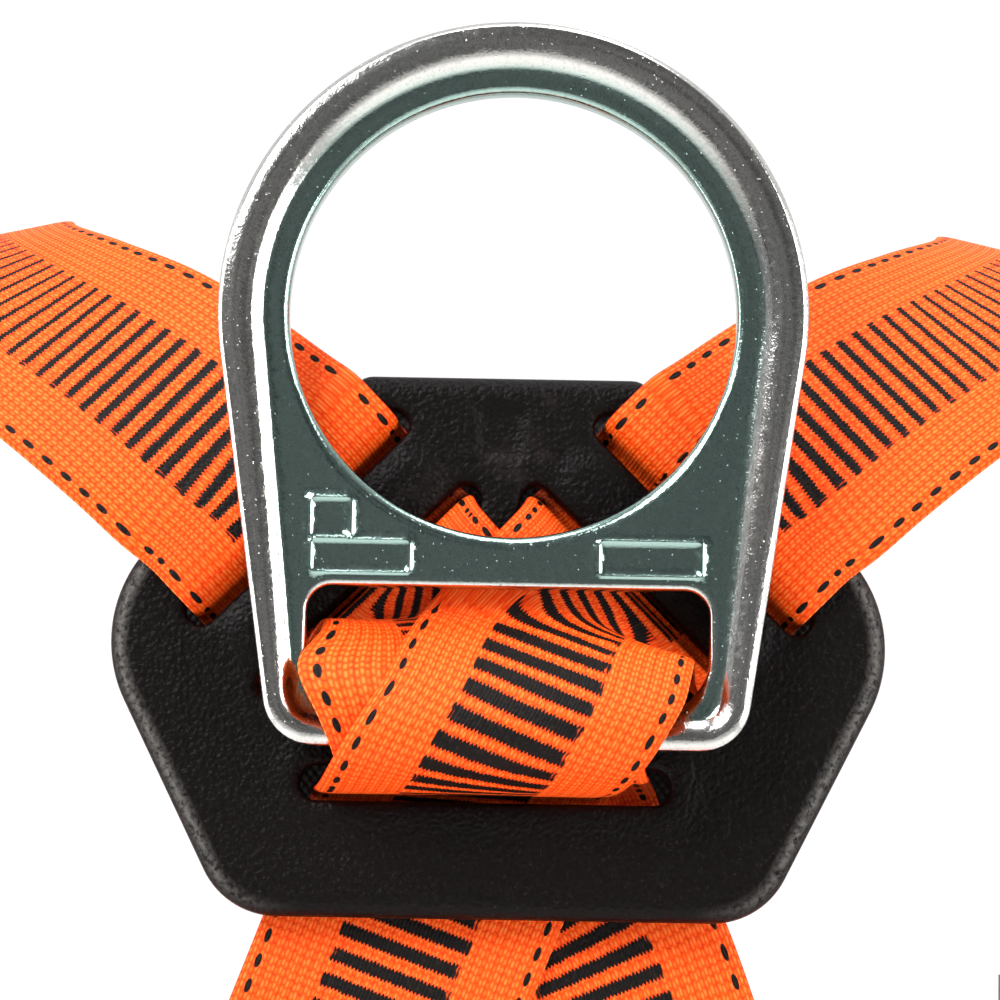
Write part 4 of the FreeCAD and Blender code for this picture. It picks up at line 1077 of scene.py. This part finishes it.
def elastic_band(node, origin, a, n, length, n0, n1):
    """Flat elastic sewn into a loop round two layers of webbing, n0 to n1 from the origin along n:
    ribbed outside, soft-edged."""
    section = arc_points([(-BAND_HALF, n0, 0.4), (BAND_HALF, n0, 0.4), (BAND_HALF, n1, 0.4),
                          (-BAND_HALF, n1, 0.4)], 0.6)
    outwards = [(f, BAND_WALL * (1 - 0.75 * abs(f) ** 12) * 0.98) for f in BAND_STATIONS]
    rows = [[(f * length / 2, y, z) for y, z in inset(section, -thick)]
            for f, thick in outwards + [(0.99, 0.05), (0, 0.05), (-0.99, 0.05)]]
    rows.append(rows[0])
    verts = set_in([p for row in rows for p in row], origin, a, n)
    uvs = [(p[0] * MM + r * 1e-6, k * 0.0006)
           for r, row in enumerate(rows) for k, p in enumerate(row)]
    obj = add_mesh(node + "_elastic", verts, grid_faces(len(rows), len(section)), uvs)
    finish_piece(obj, ELASTIC, node, "elastic", node)


ENVELOPE_COUNT = 40          # faces along each side of a soft box


def soft_box(name, origin, a, n, half_x, half_y, thick, lift=0.0, edge=0.35):
    """Flat stuffed envelope: crowned on top, pinched towards its edges, flat underneath."""
    verts, uvs, faces = [], [], []
    count = ENVELOPE_COUNT
    for layer in (1, 0):
        for i in range(count + 1):
            for j in range(count + 1):
                u, v = 2 * i / count - 1, 2 * j / count - 1
                x = half_x * math.copysign(abs(math.sin(u * math.pi / 2)) ** 0.9, u)
                y = half_y * math.copysign(abs(math.sin(v * math.pi / 2)) ** 0.9, v)
                rim = min(half_x - abs(x), half_y - abs(y))
                crown = 1 - math.exp(-rim / 2.2)
                wrinkle = 0.25 * noise.noise(V((x * 0.06 + lift, y * 0.09, 3.1))) * crown
                z = (edge + (thick - edge) * crown * 0.93 + wrinkle) if layer else 0.05 * crown
                verts.append((x, y, z))
                uvs.append((x * MM, y * MM))
    side = count + 1
    size = side * side
    for i in range(count):
        for j in range(count):
            q = (i * side + j, (i + 1) * side + j, (i + 1) * side + j + 1, i * side + j + 1)
            faces += [q, tuple(size + k for k in q[::-1])]
    ring_ids = [i * side for i in range(side)] + [count * side + j for j in range(1, side)]
    ring_ids += [i * side + count for i in range(count - 1, -1, -1)] + list(range(count - 1, 0, -1))
    for k, v in enumerate(ring_ids):
        w = ring_ids[(k + 1) % len(ring_ids)]
        faces.append((v, w, size + w, size + v))
    return add_mesh(name, set_in(verts, origin, a, n), faces, uvs)


def thread_rows(name, paths, radius=0.28):
    """Stitching: each path becomes a thin closed tube."""
    sides = 6
    verts, faces = [], []
    for path in paths:
        faces += tube_faces(len(verts), len(path), sides)
        for i, p in enumerate(path):
            t = (path[min(i + 1, len(path) - 1)] - path[max(i - 1, 0)]).normalized()
            side = t.cross(Y if abs(t.y) < 0.8 else Z).normalized()
            up = side.cross(t)
            for k in range(sides):
                a = 2 * math.pi * k / sides
                verts.append(p + (side * math.cos(a) + up * math.sin(a)) * radius)
    return add_mesh(name, verts, faces, [(v[0] * MM, v[2] * MM) for v in verts])


TACK_WIDTH, TACK_SPAN, TACK_LIFT, TACK_STITCHES = 38, 1.8, 0.24, 34


def bar_tack(origin, a, n):
    """A dense zigzag across the webbing."""
    points = [((k % 2 - 0.5) * TACK_SPAN, -TACK_WIDTH / 2 + TACK_WIDTH * k / TACK_STITCHES,
               TACK_LIFT) for k in range(TACK_STITCHES + 1)]
    return set_in(points, origin, a, n)


liner = finish_piece(make_liner(), FOAM, "harness", "foam", "pad_liner")
finish_piece(make_studs(), PLASTIC, "harness", "foam")

FRONT_Y = 248.0
for side, s in (("right", 1), ("left", -1)):
    elastic_band("torso_keeper_" + side, rel(s * CHEST_X, FRONT_Y, TORSO_Z - 52), -Z, Y, 12, -1.9, 3.8)
    elastic_band("leg_keeper_" + side, rel(s * (LX - 39), LY, LZ), X, Y, 6, -5.5, -0.5)
elastic_band("chest_keeper", rel(53, FRONT_Y, CHEST_Z), X, Y, 6, -2.6, 4.5)

tacks = [bar_tack(rel(s * CHEST_X, 250.2, LOOP_Z + 38 - 5 * k), -Z, Y)
         for s in (-1, 1) for k in range(3)]
finish_piece(thread_rows("torso_bar_tacks", tacks), THREAD, "harness", "thread", "torso_stitching")
tacks = [bar_tack(rel(s * 64.2, 250.75, CHEST_Z), X * s, Y) for s in (-1, 1)]
finish_piece(thread_rows("chest_bar_tacks", tacks), THREAD, "harness", "thread", "chest_stitching")

# label pouch and its cover
POUCH_HALF, POUCH_T, POUCH_Y = 38.0, 4.2, 15.6
way = rel(*BACK[3][:3]) - rel(*BACK[2][:3])
pouch_at = rel(*BACK[2][:3]) + way * 0.3
pouch_at.y = POUCH_Y
way.y = 0
way.normalize()
pouch = soft_box("label_pouch_cloth", pouch_at, way, -Y, POUCH_HALF, 20, POUCH_T)
finish_piece(pouch, LABEL, "harness", "label", "label_pouch")
COVER_GAP = 1.6              # the cover reaches this far beyond the pouch, past its hinge
flap_at = pouch_at - way * (POUCH_HALF + 1.5) - Y * (POUCH_T + 1.7)
cover_at = flap_at + way * (POUCH_HALF + COVER_GAP) + Y * 0.5
flap = soft_box("label_cover", cover_at, way, -Y, POUCH_HALF + 2.3, 21, 1.0, lift=5, edge=0.5)
finish_piece(flap, LABEL, "label_flap", "label", "label_flap")
seam = []
inner = arc_points([(-36, -18, 3), (38, -18, 3), (38, 18, 3), (-36, 18, 3)], 1.0)
for k in range(0, len(inner) - 2, 3):
    seam.append(set_in([(x, y, 1.05) for x, y in inner[k:k + 3]], cover_at, way, -Y))
dress(thread_rows("label_cover_seam", seam, 0.2), ORANGE_THREAD, "label_flap", "thread")

# ---------------- hard pieces that keep their CAD shape
HARD = [("button", BUTTON), ("lanyard", PLASTIC), ("housing", ALLOY), ("slide_bar", STEEL),
        ("adjuster", STEEL), ("tongue", STEEL)]
for node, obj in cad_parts.items():
    material = next((m for part, m in HARD if part in node), None)
    if material:
        for slot in obj.material_slots:
            slot.link = "OBJECT"
            slot.material = material
        if not obj.material_slots:
            obj.data.materials.append(material)

# ---------------- studio
floor_paint = new_material("floor_paint")
floor_paint.finish(rgb(236, 236, 234), 0.7)
FLOOR_HALF, FLOOR_BELOW = 3.0, 0.03          # metres
mesh = bpy.data.meshes.new("floor")
mesh.from_pydata([(x, y, 0) for x, y in ((-FLOOR_HALF, -FLOOR_HALF), (FLOOR_HALF, -FLOOR_HALF),
                                         (FLOOR_HALF, FLOOR_HALF), (-FLOOR_HALF, FLOOR_HALF))],
                 [], [(0, 1, 2, 3)])
mesh.materials.append(floor_paint.owner)
floor = bpy.data.objects.new("floor", mesh)
floor.location = (0, 0.1, cad_low[2] - FLOOR_BELOW)
bpy.context.scene.collection.objects.link(floor)

AIM = V((0, 0, -0.03))
# Soft lights: place, size, power
for name, place, size, power in (
        ("key", (-0.75, -0.85, 0.75), (0.7, 0.7), 26),
        ("fill", (1.0, -0.75, 0.15), (0.5, 1.0), 12),
        ("top", (0.1, -0.15, 1.1), (0.9, 0.5), 9),
        ("low", (0.1, -0.7, -0.95), (0.8, 0.4), 2.5),
        ("left_edge", (-1.05, -0.12, -0.05), (0.3, 1.1), 6),
        ("right_edge", (1.05, -0.12, -0.02), (0.3, 1.1), 4)):
    data = bpy.data.lights.new(name, "AREA")
    data.shape = "RECTANGLE"
    data.size, data.size_y = size
    data.energy = power
    lamp = bpy.data.objects.new(name, data)
    lamp.location = place
    lamp.rotation_euler = (AIM - V(place)).to_track_quat("-Z", "Y").to_euler()
    bpy.context.scene.collection.objects.link(lamp)

# A bright cloudy world: dimmer and uneven towards -Y, brighter behind the harness
sky = Nodes(bpy.data.worlds.new("studio"))
bpy.context.scene.world = sky.owner
where = sky.add("TexCoord", "Generated")
uneven = sky.add("MapRange", "Result", {"Value": sky.noise(7.0, 1.0, where), "From Min": 0.35,
                                        "From Max": 0.65, "To Min": 0.07, "To Max": 0.29})
fade = sky.add("MapRange", "Result", {
    "Value": sky.axes(where)[1], "From Min": -0.75, "From Max": 0.25, "To Min": uneven,
    "To Max": 1.05}, interpolation_type="SMOOTHSTEP")
background = sky.tree.nodes["Background"].inputs
sky.feed(background["Strength"], fade)
background["Color"].default_value = (1, 1, 1, 1)
bpy.context.scene.view_settings.view_transform = "Standard"

camera_data = bpy.data.cameras.new("camera")
camera_data.angle = math.radians(13.8)
camera = bpy.data.objects.new("camera", camera_data)
camera.location = (-0.0016, -0.6464, -0.0972)
look = V((-0.0016, 0, -0.0293)) - camera.location
turned = look.to_track_quat("-Z", "Y").to_matrix() @ Matrix.Rotation(math.radians(1.0), 3, "Z")
camera.rotation_euler = turned.to_euler()
bpy.context.scene.collection.objects.link(camera)
bpy.context.scene.camera = camera
